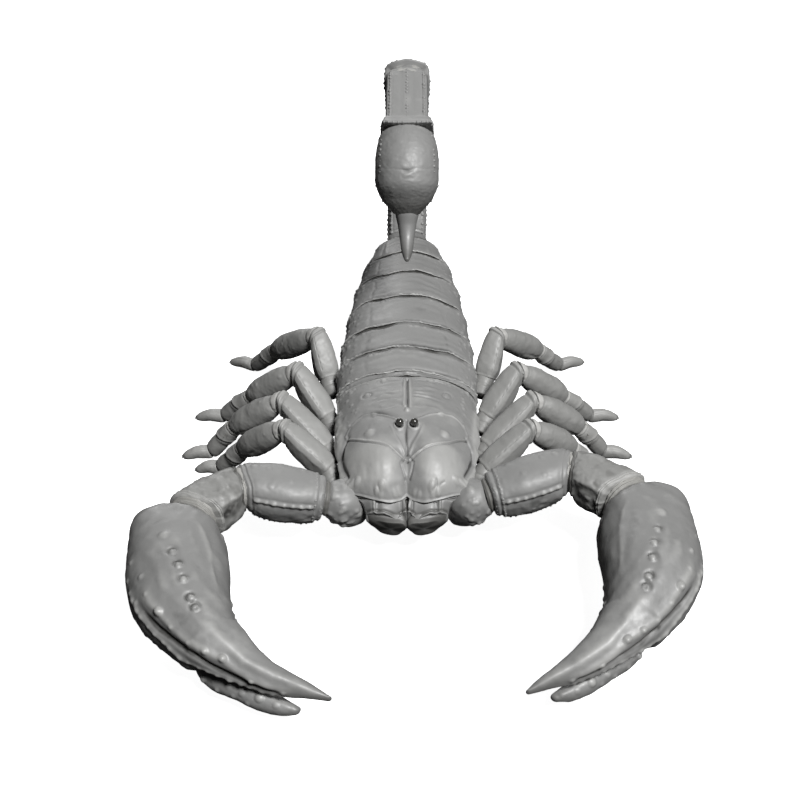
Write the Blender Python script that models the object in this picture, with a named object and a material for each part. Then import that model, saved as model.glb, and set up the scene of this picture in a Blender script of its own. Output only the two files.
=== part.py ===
"""A desert burrowing scorpion, life size, standing with its claws spread and its tail arched.

The design frame is in millimetres: X = 0 is the plane of symmetry, the head points to -Y, the
animal's left is +X and Y = 0 is the rear edge of the carapace. The animal stands at the height
GROUND. At the end it is moved so that its origin lies at the bottom centre of its box.
"""

import bmesh
import bpy
import numpy as np

MM = 0.001
TINY = 1e-6
GROUND = 0.3            # height of the soles in the design frame

# Gaps and mesh density
GAP = 0.25              # between touching plates
SMOOTH_ANGLE = 0.7      # radians, above which an edge stays sharp
BODY_STEPS = 14         # points across a body plate
CARAPACE_STEPS = 17     # points across the carapace
CARAPACE_ROWS = 11
LIMB_STEPS = 10         # points round a leg
ARM_STEPS = 14          # points round a pedipalp or tail segment
HAND_STEPS = 16         # points round a claw
SMALL_STEPS = 8         # points round an eye or comb

# Squareness of each section: 2 is an ellipse, larger is squarer
EYE_POWER = 2.0
TELSON_POWER = 2.0
BELLY_POWER = 2.6
TAIL_POWER = 2.7
LEG_POWER = 2.2
TROCHANTER_POWER = 2.3
ARM_FEMUR_POWER = 2.8
ARM_PATELLA_POWER = 2.3
HAND_POWER = 2.15
FINGER_POWER = 2.2
CHELICERA_POWER = 3.6
FANG_POWER = 2.6
COMB_POWER = 3.0

# Trunk: each table gives a value at places along Y
TRUNK_HALF_WIDTH = {-12: 7.9, -8: 8.3, -4.5: 8.45, 0: 8.5, 3.2: 8.7, 9.3: 8.4, 14.7: 7.95, 20.8: 7.3,
                    26.5: 6.5, 32.1: 5.6, 35.0: 5.1, 36.5: 4.85}
TRUNK_TOP = {-12: 13.4, -9.9: 13.9, -5: 13.8, 0: 13.3, 5.4: 13.6, 10.6: 13.6, 17: 13.3, 23.8: 12.5,
             29.9: 11.5, 36.5: 10.0}
MARGIN_HEIGHT = {-18: 8.6, -12: 8.5, 0: 8.5, 17: 8.3, 29.9: 7.6, 36.5: 6.9}
BELLY_HEIGHT = {-17: 5.0, -12: 4.4, 0: 4.2, 10: 4.2, 20: 4.5, 30: 5.0, 36.5: 5.5}
PLATE_SKIRT = 0.35      # how far a back plate reaches below its margin
BELLY_INSET = 0.45      # belly plates are this much narrower than the back plates
COXAE_INSET = {-13.4: 2.4, -12.2: 1.9, -11: 1.7, 3: 1.6, 6.3: 1.1}     # the same for the leg bases
COXAE_STATIONS = (-13.4, -12.2, -10.5, -7.0, -2.0, 2.5)

TERGITE_EDGES = (0.0, 0.75, 5.4, 10.6, 17.0, 23.8, 29.9, 36.5)
STERNITE_EDGES = (6.4, 11.4, 17.4, 23.9, 29.9, 36.5)
LIP_RISE = 0.25         # how far each back plate's rear lip stands proud
LIP_START = 0.7         # where the lip begins along the plate
PLATE_SINK = 0.15       # how far the rest of the plate lies below the trunk's outline
PLATE_STATIONS = (0.0, 0.3, 0.8, 1.0)
UNDERSIDE_SCALE = 0.98  # underside of a back plate, as a share of its width

# Carapace
CARAPACE_HALF_WIDTH = {-18.6: 5.2, -17.8: 5.9, -16.6: 6.6, -14.5: 7.3, -12: 7.85, -8: 8.3, -4.5: 8.45,
                       0: 8.5}
CARAPACE_TOP = {-18.6: 9.9, -17.2: 11.1, -15: 12.6, -12: 13.6, -9.9: 13.9, -5: 13.8, 0: 13.3}
RIM_REACH = 6.4         # half width of the front rim, across which FRONT_RIM gives its Y
FRONT_RIM = {0: -17.2, 1.0: -17.8, 2.4: -18.2, 4.0: -17.9, 5.4: -17.2, 6.4: -16.4}
VALLEY_DEPTH = 1.0      # groove between the two front lobes
VALLEY_HALF_WIDTH = 1.5
VALLEY_SHARE = {-18.6: 1.0, -14: 1.0, -11: 0.3, -9: 0.0}      # how deep it is along Y
RIM_ARCH = 0.3          # rise of the carapace's underside at the front
EYE_RADIUS = 0.45
EYE_PLACE = (0.85, -9.9, 14.25)
EYE_STATIONS = (-0.45, 0.0, 0.55, 0.92)     # levels of the dome, as shares of the radius

# Mouth parts
# place, half width, half depth
CHELICERA_STATIONS = ((0.0, 1.94, 1.5), (0.5, 2.3, 1.6), (0.85, 2.4, 1.7), (1.0, 2.1, 1.7))
FANG_STATIONS = ((0.0, 1.8, 1.6), (0.2, 1.7, 1.55), (0.65, 1.35, 1.4), (1.0, 0.95, 1.0))
CHELICERA_ROOT = (2.55, -15.2, 6.1)
CHELICERA_KNUCKLE = (2.35, -18.7, 6.5)
CHELICERA_TIP = (1.85, -19.9, 5.9)

# Pectines, the two combs behind the leg bases
COMB_ROOT = (1.1, 2.6)
COMB_TIP = (6.6, 6.4)
COMB_HEIGHT = (3.2, 3.85)
COMB_HALF_WIDTHS = (0.56, 0.8, 0.8, 0.4)

# Tail joints in the plane of symmetry, as (Y, Z), with half widths
TAIL_JOINTS = ((36.55, 7.3), (41.6, 13.1), (43.0, 21.0), (40.8, 29.0), (33.6, 35.2), (23.4, 32.5))
TAIL_HALF_WIDTH = (2.75, 2.75, 2.75, 2.75, 2.8)
TAIL_HALF_DEPTH = (2.4, 2.55, 2.6, 2.65, 2.5)
TAIL_STATIONS = ((0.0, 0.88), (0.12, 0.97), (0.5, 0.98))     # place along a segment, share of its width
TAIL_RIM_START = 0.85
TAIL_FLARE = (1.06, 1.06, 1.06, 1.05, 1.17)     # how much each segment widens to its rear rim
TAIL_ROOT_HEIGHT = 0.66  # the first segment is flattened where it meets the trunk
VESICLE_PATH = ((23.0, 32.3), (22.1, 31.9), (20.8, 30.7), (19.5, 28.9), (18.6, 27.1), (18.1, 25.7))
VESICLE_HALF_WIDTH = (2.7, 3.6, 4.1, 4.15, 3.45, 1.7)
VESICLE_HALF_DEPTH = (2.1, 3.0, 3.7, 3.7, 2.8, 1.2)
STING_PATH = ((18.0, 25.2), (17.1, 23.8), (15.9, 22.6), (14.3, 21.8), (12.5, 21.5))
STING_RADIUS = (1.1, 0.85, 0.62, 0.42, 0.12)

# Legs, left side, front to rear: root, start of femur, knee, end of patella, end of tibia, heel, tip
LEG_JOINTS = (
    ((8.3, -12.0, 6.0), (9.2, -10.4, 7.3), (14.6, -7.5, 11.2), (20.0, -4.3, 5.4), (21.6, -3.5, 3.0),
     (23.3, -2.9, 1.1), (26.3, -2.7, 0.45)),
    ((8.5, -7.8, 6.2), (9.6, -6.6, 7.3), (15.2, -2.5, 11.4), (21.4, -0.3, 5.4), (23.2, 0.2, 3.0),
     (24.7, 0.1, 1.1), (28.2, -0.2, 0.45)),
    ((8.8, -2.3, 6.2), (9.8, -0.8, 7.3), (13.7, 3.2, 11.5), (19.8, 5.7, 5.4), (22.0, 6.7, 3.0),
     (23.7, 7.1, 1.1), (27.4, 7.5, 0.45)),
    ((9.2, 4.9, 6.2), (9.9, 6.8, 7.4), (11.5, 10.5, 11.5), (17.3, 15.5, 5.4), (19.0, 16.8, 3.0),
     (20.6, 17.9, 1.1), (24.0, 19.4, 0.45)),
)
ROOT_RADIUS = 1.1
SHIN_WIDTH_SHARE = 0.92     # width over depth of the lower leg
FEMUR_STATIONS = ((0.0, 1.3), (0.25, 1.5), (0.65, 1.42), (1.0, 1.05))
# place along the lower leg (1 is the patella's end, 2 the tibia's, 3 the heel, 4 the tip), then radius
SHIN_STATIONS = ((0.0, 1.0), (0.15, 1.4), (0.4, 1.65), (0.7, 1.7), (0.9, 1.35), (1.0, 1.05), (1.5, 1.0),
                 (2.0, 1.05), (2.5, 0.95), (3.0, 0.82), (3.35, 0.74), (3.75, 0.5), (4.0, 0.14))

# Pedipalps: shoulder, elbow and wrist joints, then the level tip of the fixed finger
ARMS = {
    "left": {"shoulder": (9.5, -15.85, 8.3), "elbow": (18.8, -13.7, 9.9), "wrist": (24.3, -17.35, 9.4),
             "tip": (12.25, -42.1), "gape": -0.45},
    "right": {"shoulder": (-9.5, -16.45, 8.3), "elbow": (-18.9, -16.35, 9.9), "wrist": (-23.5, -20.4, 9.4),
              "tip": (-7.9, -42.8), "gape": 0.0},
}
TROCHANTER_PATH = ((5.9, -15.4, 5.4), (6.9, -15.8, 5.7), (8.55, -16.2, 6.9))
TROCHANTER_RADIUS = (1.7, 1.9, 2.4)
FEMUR_RADIUS = ((0.0, 2.35), (0.12, 2.9), (0.5, 3.12), (0.88, 2.82), (1.0, 2.35))
ARM_FEMUR_FLATTEN = 0.92        # depth over width
ARM_PATELLA_FLATTEN = 0.95
PATELLA_RADIUS = ((0.0, 2.3), (0.3, 2.8), (0.7, 3.0), (1.0, 3.0))

# The claw in its own frame: U runs from the wrist to the fixed finger's tip, V runs outwards
HAND_WAIST = 0.45       # height of the widest level, as a share of the claw's depth
HAND_INNER = {-3.2: 4.8, -3.0: 3.8, -2.4: 3.0, -1.4: 2.2, 0.0: 1.2, 1.5: 0.1, 3.0: -0.95, 4.2: -0.95,
              6.5: -0.2, 9.0: 1.0, 11.0: 2.1, 13.0: 3.0, 15.5: 3.6, 18.0: 3.5, 21.0: 2.85, 23.0: 1.95,
              25.0: 0.95, 27.5: -0.15}
HAND_OUTER = {-3.2: 6.0, -3.0: 6.6, -2.4: 7.2, -1.4: 7.9, 0.0: 8.8, 1.5: 9.7, 3.0: 10.6, 5.0: 11.4,
              7.0: 11.9, 9.0: 12.0, 11.0: 11.7, 13.0: 11.1, 15.5: 10.3, 18.0: 8.9, 21.0: 6.8, 23.0: 5.3,
              25.0: 3.2, 27.5: 0.15}
HAND_TOP = {-3.2: 9.6, -3.0: 10.5, -2.4: 11.3, -1.4: 11.9, 0.0: 12.1, 3.0: 12.2, 7.0: 12.2, 11.0: 11.6,
            15.5: 10.2, 20.0: 8.4, 25.0: 6.4, 27.5: 5.2}
HAND_BOTTOM = {-3.2: 8.2, -3.0: 7.2, -2.4: 6.2, -1.4: 5.3, 0.0: 4.6, 3.0: 3.6, 7.0: 3.1, 11.0: 3.0,
               15.3: 3.3, 16.0: 4.9, 20.0: 4.9, 25.0: 4.7, 27.5: 5.0}
HAND_STATIONS = (-3.2, -3.0, -2.4, -1.4, 0.0, 1.5, 3.0, 5.0, 7.0, 9.0, 11.0, 13.0, 15.3, 16.0, 18.0, 20.5,
                 23.0, 25.5, 27.5)
WRIST_PLACE = (-0.1, 0.3)       # centre of the wrist in the claw's own frame
WRIST_FACING = (0.56, 0.83)     # direction of the wrist's end plane there
FINGER_PATH = ((16.2, 7.2, 3.3), (17.3, 6.75, 3.2), (19.5, 6.05, 3.2), (22.0, 5.05, 3.1), (24.3, 3.8, 3.0),
               (25.8, 2.5, 3.0))
FINGER_HALF_WIDTH = (2.3, 2.0, 1.5, 1.25, 0.9, 0.15)
FINGER_ACROSS = (0.35, 0.94)    # direction of each section's width
FINGER_HALF_DEPTH = (1.2, 1.3, 1.2, 1.1, 0.8, 0.15)

# Colours, as linear values
PLATE_COLOUR = (0.24, 0.225, 0.19)
MEMBRANE_COLOUR = (0.42, 0.39, 0.32)
LIMB_COLOUR = (0.33, 0.31, 0.26)
CLAW_COLOUR = (0.22, 0.20, 0.165)
STING_COLOUR = (0.07, 0.05, 0.035)
EYE_COLOUR = (0.01, 0.01, 0.01)

ACROSS = np.array((1.0, 0.0, 0.0))
BACK = np.array((0.0, 1.0, 0.0))
UP = np.array((0.0, 0.0, 1.0))


def clear_scene():
    for item in list(bpy.data.objects):
        bpy.data.objects.remove(item, do_unlink=True)


def unit(vector):
    return vector / np.linalg.norm(vector)


def smooth_value(table, place):
    """Read a table of place: value with a smooth curve that never overshoots its points."""
    keys = np.array(sorted(table), float)
    values = np.array([table[k] for k in sorted(table)], float)
    slopes = np.diff(values) / np.diff(keys)
    tangents = np.zeros(len(keys))
    tangents[0], tangents[-1] = slopes[0], slopes[-1]
    same_way = slopes[:-1] * slopes[1:] > 0
    mean = 2 * slopes[:-1] * slopes[1:] / np.where(same_way, slopes[:-1] + slopes[1:], 1.0)
    tangents[1:-1] = np.where(same_way, mean, 0.0)
    place = np.clip(place, keys[0], keys[-1])
    i = np.clip(np.searchsorted(keys, place) - 1, 0, len(keys) - 2)
    span = keys[i + 1] - keys[i]
    t = (place - keys[i]) / span
    rise = (2 * t**3 - 3 * t**2 + 1) * values[i] + (3 * t**2 - 2 * t**3) * values[i + 1]
    lean = (t**3 - 2 * t**2 + t) * tangents[i] + (t**3 - t**2) * tangents[i + 1]
    return rise + span * lean


def material(name, colour, roughness):
    made = bpy.data.materials.new(name)
    made.use_nodes = True
    shader = made.node_tree.nodes["Principled BSDF"]
    shader.inputs["Base Color"].default_value = (*colour, 1.0)
    shader.inputs["Roughness"].default_value = roughness
    shader.inputs["Metallic"].default_value = 0.0
    return made


def loft(name, rings, colour, roughness=0.45):
    """Skin a list of closed rings of points and cap both ends, as one object in metres."""
    mesh = bpy.data.meshes.new(name)
    build = bmesh.new()
    loops = [[build.verts.new(point * MM) for point in ring] for ring in rings]
    for near, far in zip(loops[:-1], loops[1:]):
        for k in range(len(near)):
            after = (k + 1) % len(near)
            build.faces.new((near[k], near[after], far[after], far[k]))
    for loop in (loops[0], loops[-1]):
        centre = build.verts.new(sum((v.co for v in loop), start=loop[0].co * 0) / len(loop))
        for k in range(len(loop)):
            build.faces.new((loop[k], loop[(k + 1) % len(loop)], centre))
    bmesh.ops.recalc_face_normals(build, faces=build.faces)
    build.to_mesh(mesh)
    build.free()
    mesh.shade_smooth()
    mesh.set_sharp_from_angle(angle=SMOOTH_ANGLE)
    mesh.materials.append(material(name, colour, roughness))
    made = bpy.data.objects.new(name, mesh)
    bpy.context.scene.collection.objects.link(made)
    return made


def rounded(angle, power):
    """Unit superellipse point at an angle: power 2 is a circle, larger is squarer."""
    c, s = np.cos(angle), np.sin(angle)
    return np.sign(c) * abs(c) ** (2 / power), np.sign(s) * abs(s) ** (2 / power)


def ring(centre, side, up, half_width, half_top, half_bottom, power, steps):
    points = []
    for k in range(steps):
        x, y = rounded(2 * np.pi * (k + 0.5) / steps, power)
        depth = half_top if y > 0 else half_bottom
        points.append(centre + side * x * half_width + up * y * depth)
    return points


def segment_rings(start, end, plane_a, plane_b, stations, power, steps, flatten=1.0):
    """Rings along a straight segment whose two ends are mitred to the planes given."""
    start, end = np.array(start, float), np.array(end, float)
    axis = unit(end - start)
    side = unit(np.cross(axis, UP)) if abs(axis[0]) > TINY else ACROSS
    up = np.cross(side, axis)
    inner_a = start + axis * (GAP / 2) / (axis @ plane_a)
    inner_b = end - axis * (GAP / 2) / (axis @ plane_b)
    rings = []
    for t, radius in stations:
        plane = unit((1 - t) * plane_a + t * plane_b)
        centre = inner_a + (inner_b - inner_a) * t
        flat = ring(centre, side, up, radius, radius * flatten, radius * flatten, power, steps)
        rings.append([p - axis * ((p - centre) @ plane) / (axis @ plane) for p in flat])
    return rings


def path_rings(path, half_widths, half_depths, power, steps, side=None):
    """Rings square to a path of points, one at each point."""
    path = np.array(path, float)
    tangents = np.gradient(path, axis=0)
    rings = []
    for centre, tangent, width, depth in zip(path, tangents, half_widths, half_depths):
        tangent = unit(tangent)
        across = unit(np.cross(tangent, UP)) if side is None else side
        up = np.cross(across, tangent)
        rings.append(ring(centre, across, up, width, depth, depth, power, steps))
    return rings


def on_ground(rings):
    """Flatten whatever would sink into the ground, which makes the soles."""
    return [[np.array((p[0], p[1], max(p[2], GROUND))) for p in points] for points in rings]


def mirrored(rings, side):
    flip = np.array((1.0 if side == "left" else -1.0, 1.0, 1.0))
    return [[p * flip for p in points] for points in rings]


def carapace():
    """The shield over the head: rows across it run from the rear edge to the bilobed front rim."""
    rows = []
    for v in np.linspace(0.0, 1.0, CARAPACE_ROWS):
        top, bottom = [], []
        for a in np.linspace(-np.pi / 2, np.pi / 2, CARAPACE_STEPS):
            u = np.sin(a)
            rim = smooth_value(FRONT_RIM, abs(u) * RIM_REACH)
            y = -GAP + (rim + GAP) * v
            x = u * smooth_value(CARAPACE_HALF_WIDTH, y)
            margin = smooth_value(MARGIN_HEIGHT, y)
            rise = smooth_value(CARAPACE_TOP, y) - margin
            valley = VALLEY_DEPTH * smooth_value(VALLEY_SHARE, y) * np.exp(-(x / VALLEY_HALF_WIDTH) ** 2)
            top.append(np.array((x, y, margin + rise * np.cos(a) - valley)))
            under = margin - PLATE_SKIRT + RIM_ARCH * v * np.cos(a)
            bottom.append(np.array((x * UNDERSIDE_SCALE, y, under)))
        rows.append(top + bottom[::-1])
    return loft("carapace", rows, PLATE_COLOUR)


def eye(side):
    x, y, z = EYE_PLACE
    rings = []
    for t in EYE_STATIONS:
        centre = np.array((x, y, z + t * EYE_RADIUS))
        radius = EYE_RADIUS * np.sqrt(1 - t * t)
        rings.append(ring(centre, ACROSS, BACK, radius, radius, radius, EYE_POWER, SMALL_STEPS))
    return loft(f"eye_{side}", mirrored(rings, side), EYE_COLOUR, 0.1)


def straight_rings(start, end, stations, power):
    """Rings along a straight line, each kept square to Y."""
    start, end = np.array(start), np.array(end)
    rings = []
    for t, half_width, half_depth in stations:
        centre = start + (end - start) * t
        rings.append(ring(centre, -ACROSS, UP, half_width, half_depth, half_depth, power, ARM_STEPS))
    return rings


def chelicera(side):
    knuckle = np.array(CHELICERA_KNUCKLE)
    hand_rings = straight_rings(CHELICERA_ROOT, knuckle, CHELICERA_STATIONS, CHELICERA_POWER)
    loft(f"chelicera_{side}", mirrored(hand_rings, side), CLAW_COLOUR, 0.35)
    fang_rings = straight_rings(knuckle - BACK * GAP, CHELICERA_TIP, FANG_STATIONS, FANG_POWER)
    loft(f"chelicera_fingers_{side}", mirrored(fang_rings, side), CLAW_COLOUR, 0.3)


def tergite(number):
    """One back plate: an arch of the trunk's section with a raised rear lip."""
    front, rear = TERGITE_EDGES[number - 1] + GAP / 2, TERGITE_EDGES[number] - GAP / 2
    rings = []
    for t in (0.0, 1.0) if number == 1 else PLATE_STATIONS:
        y = front + (rear - front) * t
        lip = LIP_RISE * (t > LIP_START)
        width = smooth_value(TRUNK_HALF_WIDTH, y) + lip
        margin = smooth_value(MARGIN_HEIGHT, y)
        rise = smooth_value(TRUNK_TOP, y) - margin - PLATE_SINK + lip
        arch = [np.array((width * np.sin(a), y, margin + rise * np.cos(a)))
                for a in np.linspace(-np.pi / 2, np.pi / 2, BODY_STEPS)]
        under = width * UNDERSIDE_SCALE
        floor = [np.array((under * s, y, margin - PLATE_SKIRT)) for s in (1.0, 0.35, -0.35, -1.0)]
        rings.append(arch + floor)
    return loft(f"tergite_{number}", rings, PLATE_COLOUR)


def belly_ring(y, inset):
    bottom = smooth_value(BELLY_HEIGHT, y)
    width = smooth_value(TRUNK_HALF_WIDTH, y) - inset
    top = smooth_value(MARGIN_HEIGHT, y) - PLATE_SKIRT - GAP
    arch = []
    for a in np.linspace(0.0, np.pi, BODY_STEPS - 2):
        x, z = rounded(a, BELLY_POWER)
        arch.append(np.array((width * x, y, top - (top - bottom) * z)))
    return arch + [np.array((width * s, y, top)) for s in (-0.35, 0.35)]


def sternite(number):
    front, rear = STERNITE_EDGES[number] + GAP / 2, STERNITE_EDGES[number + 1] - GAP / 2
    rings = [belly_ring(y, BELLY_INSET) for y in np.linspace(front, rear, 3)]
    return loft(f"sternite_{number + 3}", rings, PLATE_COLOUR)


def coxal_block():
    """The underside between the legs: leg bases and breastplate."""
    places = (*COXAE_STATIONS, STERNITE_EDGES[0] - GAP / 2)
    rings = [belly_ring(y, smooth_value(COXAE_INSET, y)) for y in places]
    return loft("coxae", rings, MEMBRANE_COLOUR)


def comb(side):
    low, high = COMB_HEIGHT
    path = np.linspace((*COMB_ROOT, (low + high) / 2), (*COMB_TIP, (low + high) / 2), len(COMB_HALF_WIDTHS))
    half_depths = [(high - low) / 2] * len(path)
    rings = path_rings(path, COMB_HALF_WIDTHS, half_depths, COMB_POWER, SMALL_STEPS)
    return loft(f"comb_{side}", mirrored(rings, side), MEMBRANE_COLOUR)


def tail():
    joints = [np.array((0.0, y, z)) for y, z in TAIL_JOINTS]
    axes = [unit(b - a) for a, b in zip(joints[:-1], joints[1:])]
    planes = [BACK] + [unit(a + b) for a, b in zip(axes[:-1], axes[1:])] + [axes[-1]]
    for k, (width, depth, flare) in enumerate(zip(TAIL_HALF_WIDTH, TAIL_HALF_DEPTH, TAIL_FLARE)):
        stations = [(t, width * share) for t, share in TAIL_STATIONS]
        stations += [(TAIL_RIM_START, width * flare), (1.0, width * flare)]
        rings = segment_rings(joints[k], joints[k + 1], planes[k], planes[k + 1], stations, TAIL_POWER,
                              ARM_STEPS, depth / width)
        if k == 0:
            middle = sum(rings[0]) / len(rings[0])
            rings[0] = [middle + (point - middle) * (1.0, 1.0, TAIL_ROOT_HEIGHT) for point in rings[0]]
        loft(f"tail_{k + 1}", rings, PLATE_COLOUR)


def telson():
    bulb_path = [(0.0, y, z) for y, z in VESICLE_PATH]
    bulb = path_rings(bulb_path, VESICLE_HALF_WIDTH, VESICLE_HALF_DEPTH, TELSON_POWER, ARM_STEPS, ACROSS)
    loft("vesicle", bulb, PLATE_COLOUR)
    sting_path = [(0.0, y, z) for y, z in STING_PATH]
    spine = path_rings(sting_path, STING_RADIUS, STING_RADIUS, TELSON_POWER, LIMB_STEPS, ACROSS)
    loft("sting", spine, STING_COLOUR, 0.25)


def shin_rings(joints, plane):
    """The lower leg: patella, tibia and foot as one curved tube from the knee."""
    knee = joints[0]
    points = [knee + unit(joints[1] - knee) * GAP, *joints[1:]]
    rings = []
    for k, (s, radius) in enumerate(SHIN_STATIONS):
        i = min(int(s), len(points) - 2)
        centre = points[i] + (points[i + 1] - points[i]) * (s - i)
        ahead = points[i + 1] - points[i]
        behind = points[i] - points[i - 1] if s == i and i > 0 else ahead
        tangent = unit(unit(ahead) + unit(behind))
        side = unit(np.cross(tangent, UP))
        up = np.cross(side, tangent)
        flat = ring(centre, side, up, radius * SHIN_WIDTH_SHARE, radius, radius, LEG_POWER, LIMB_STEPS)
        if k == 0:
            flat = [p - tangent * ((p - centre) @ plane) / (tangent @ plane) for p in flat]
        rings.append(flat)
    return rings


def leg(number, side):
    joints = [np.array(p, float) for p in LEG_JOINTS[number]]
    root, start, knee = joints[:3]
    femur_axis, shin_axis = unit(knee - start), unit(joints[3] - knee)
    knee_plane = unit(femur_axis + shin_axis)
    upper = path_rings((root, start), (ROOT_RADIUS,) * 2, (ROOT_RADIUS,) * 2, LEG_POWER, LIMB_STEPS)[:1]
    upper += segment_rings(start, knee, femur_axis, knee_plane, FEMUR_STATIONS, LEG_POWER, LIMB_STEPS)
    loft(f"leg{number + 1}_femur_{side}", mirrored(upper, side), LIMB_COLOUR, 0.4)
    lower = on_ground(shin_rings(joints[2:], knee_plane))
    loft(f"leg{number + 1}_foot_{side}", mirrored(lower, side), LIMB_COLOUR, 0.4)


def hand_place(arm, u, v, z):
    wrist = np.array(arm["wrist"][:2])
    along = unit(np.array(arm["tip"]) - wrist)
    outward = np.array((-along[1], along[0]))
    if outward[0] * arm["wrist"][0] < 0:
        outward = -outward
    x, y = wrist + along * u + outward * v
    return np.array((x, y, z))


def hand(side, arm):
    """Palm and fixed finger: sections across the claw from its heel to the finger's tip."""
    rings = []
    for u in HAND_STATIONS:
        inner, outer = smooth_value(HAND_INNER, u), smooth_value(HAND_OUTER, u)
        top, bottom = smooth_value(HAND_TOP, u), smooth_value(HAND_BOTTOM, u)
        middle, waist = (inner + outer) / 2, bottom + (top - bottom) * HAND_WAIST
        points = []
        for k in range(HAND_STEPS):
            c, s = rounded(2 * np.pi * (k + 0.5) / HAND_STEPS, HAND_POWER)
            z = waist + s * ((top - waist) if s > 0 else (waist - bottom))
            points.append(hand_place(arm, u, middle + c * (outer - inner) / 2, z))
        rings.append(points)
    return loft(f"hand_{side}", rings, CLAW_COLOUR, 0.35)


def finger(side, arm):
    rings = []
    for (u, v, z), width, depth in zip(FINGER_PATH, FINGER_HALF_WIDTH, FINGER_HALF_DEPTH):
        points = []
        for k in range(LIMB_STEPS):
            c, s = rounded(2 * np.pi * (k + 0.5) / LIMB_STEPS, FINGER_POWER)
            along, outward = c * width * FINGER_ACROSS[0], c * width * FINGER_ACROSS[1]
            points.append(hand_place(arm, u + along, v + outward + arm["gape"], z + s * depth))
        rings.append(points)
    return loft(f"finger_{side}", rings, CLAW_COLOUR, 0.3)


def pedipalp(side, arm):
    shoulder, elbow = (np.array(arm[k], float) for k in ("shoulder", "elbow"))
    height = arm["wrist"][2]
    wrist = hand_place(arm, *WRIST_PLACE, height)
    beyond = np.array(WRIST_PLACE) + WRIST_FACING
    facing = unit(hand_place(arm, *beyond, height) - wrist)
    flip = np.array((1.0 if side == "left" else -1.0, 1.0, 1.0))
    path = [np.array(p) * flip for p in TROCHANTER_PATH]
    base = path_rings(path, TROCHANTER_RADIUS, TROCHANTER_RADIUS, TROCHANTER_POWER, ARM_STEPS)
    loft(f"trochanter_{side}", base, PLATE_COLOUR)
    upper_axis, fore_axis = unit(elbow - shoulder), unit(wrist - elbow)
    elbow_plane = unit(upper_axis + fore_axis)
    upper = segment_rings(shoulder, elbow, upper_axis, elbow_plane, FEMUR_RADIUS, ARM_FEMUR_POWER,
                          ARM_STEPS, ARM_FEMUR_FLATTEN)
    loft(f"arm_femur_{side}", upper, PLATE_COLOUR)
    fore = segment_rings(elbow, wrist, elbow_plane, facing, PATELLA_RADIUS, ARM_PATELLA_POWER,
                         ARM_STEPS, ARM_PATELLA_FLATTEN)
    loft(f"arm_patella_{side}", fore, LIMB_COLOUR)
    hand(side, arm)
    finger(side, arm)


def move_to_origin():
    """Put the bottom centre of the whole animal's box at the world origin."""
    meshes = [item.data for item in bpy.context.scene.objects]
    corners = np.array([v.co for mesh in meshes for v in mesh.vertices])
    low, high = corners.min(axis=0), corners.max(axis=0)
    shift = np.array(((low[0] + high[0]) / 2, (low[1] + high[1]) / 2, low[2]))
    for mesh in meshes:
        for vertex in mesh.vertices:
            vertex.co = np.array(vertex.co) - shift


def main():
    clear_scene()
    carapace()
    coxal_block()
    tail()
    telson()
    for number in range(1, len(TERGITE_EDGES)):
        tergite(number)
    for number in range(len(STERNITE_EDGES) - 1):
        sternite(number)
    for side, arm in ARMS.items():
        eye(side)
        chelicera(side)
        comb(side)
        pedipalp(side, arm)
        for number in range(len(LEG_JOINTS)):
            leg(number, side)
    move_to_origin()


main()
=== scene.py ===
"""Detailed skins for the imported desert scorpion, with its materials, floor, light and camera.

Lengths in the tables are millimetres in the design frame: X = 0 is the plane of symmetry, the
head points to -Y, the animal's left is +X and Y = 0 is the rear edge of the carapace.
"""
import itertools
import math

import bpy
import numpy as np
from bpy.props import FloatProperty, FloatVectorProperty, PointerProperty
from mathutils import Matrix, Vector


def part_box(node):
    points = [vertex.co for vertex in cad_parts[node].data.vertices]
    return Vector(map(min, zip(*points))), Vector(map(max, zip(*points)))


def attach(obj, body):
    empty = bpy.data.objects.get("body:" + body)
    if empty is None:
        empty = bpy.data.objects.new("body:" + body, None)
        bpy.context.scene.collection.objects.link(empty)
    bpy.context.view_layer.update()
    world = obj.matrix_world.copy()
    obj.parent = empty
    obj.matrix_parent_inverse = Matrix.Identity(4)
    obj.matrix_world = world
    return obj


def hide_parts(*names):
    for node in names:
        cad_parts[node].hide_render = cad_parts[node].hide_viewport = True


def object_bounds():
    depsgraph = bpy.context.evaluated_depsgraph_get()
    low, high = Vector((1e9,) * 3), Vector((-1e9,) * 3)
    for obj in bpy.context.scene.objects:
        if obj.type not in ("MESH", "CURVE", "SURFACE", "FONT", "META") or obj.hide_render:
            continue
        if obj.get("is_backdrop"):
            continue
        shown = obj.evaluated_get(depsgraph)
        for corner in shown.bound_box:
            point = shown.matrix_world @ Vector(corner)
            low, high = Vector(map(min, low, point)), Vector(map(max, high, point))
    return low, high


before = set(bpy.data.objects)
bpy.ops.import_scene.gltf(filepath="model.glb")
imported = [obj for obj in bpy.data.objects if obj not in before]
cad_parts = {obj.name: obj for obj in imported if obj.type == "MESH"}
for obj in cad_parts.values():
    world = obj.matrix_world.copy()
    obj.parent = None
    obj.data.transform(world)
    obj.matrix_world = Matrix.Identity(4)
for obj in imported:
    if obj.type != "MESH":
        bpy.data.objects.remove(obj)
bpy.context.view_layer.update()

bl_info = {
    "name": "Desert scorpion",
    "version": (1, 0, 0),
    "blender": (4, 5, 0),
    "location": "View3D > Sidebar > Scorpion",
    "description": "Builds the skins, bristles, materials and stage of a life-size scorpion",
    "category": "Object",
}

MM = 0.001
TINY = 1e-9
BODY = "root"
SIDES = {"left": 1.0, "right": -1.0}
ACROSS = np.array((1.0, 0.0, 0.0))
BACK = np.array((0.0, 1.0, 0.0))
UP = np.array((0.0, 0.0, 1.0))
GROUND = 0.3            # height of the soles in the design frame
GAP = 0.25              # between plates that touch

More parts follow.
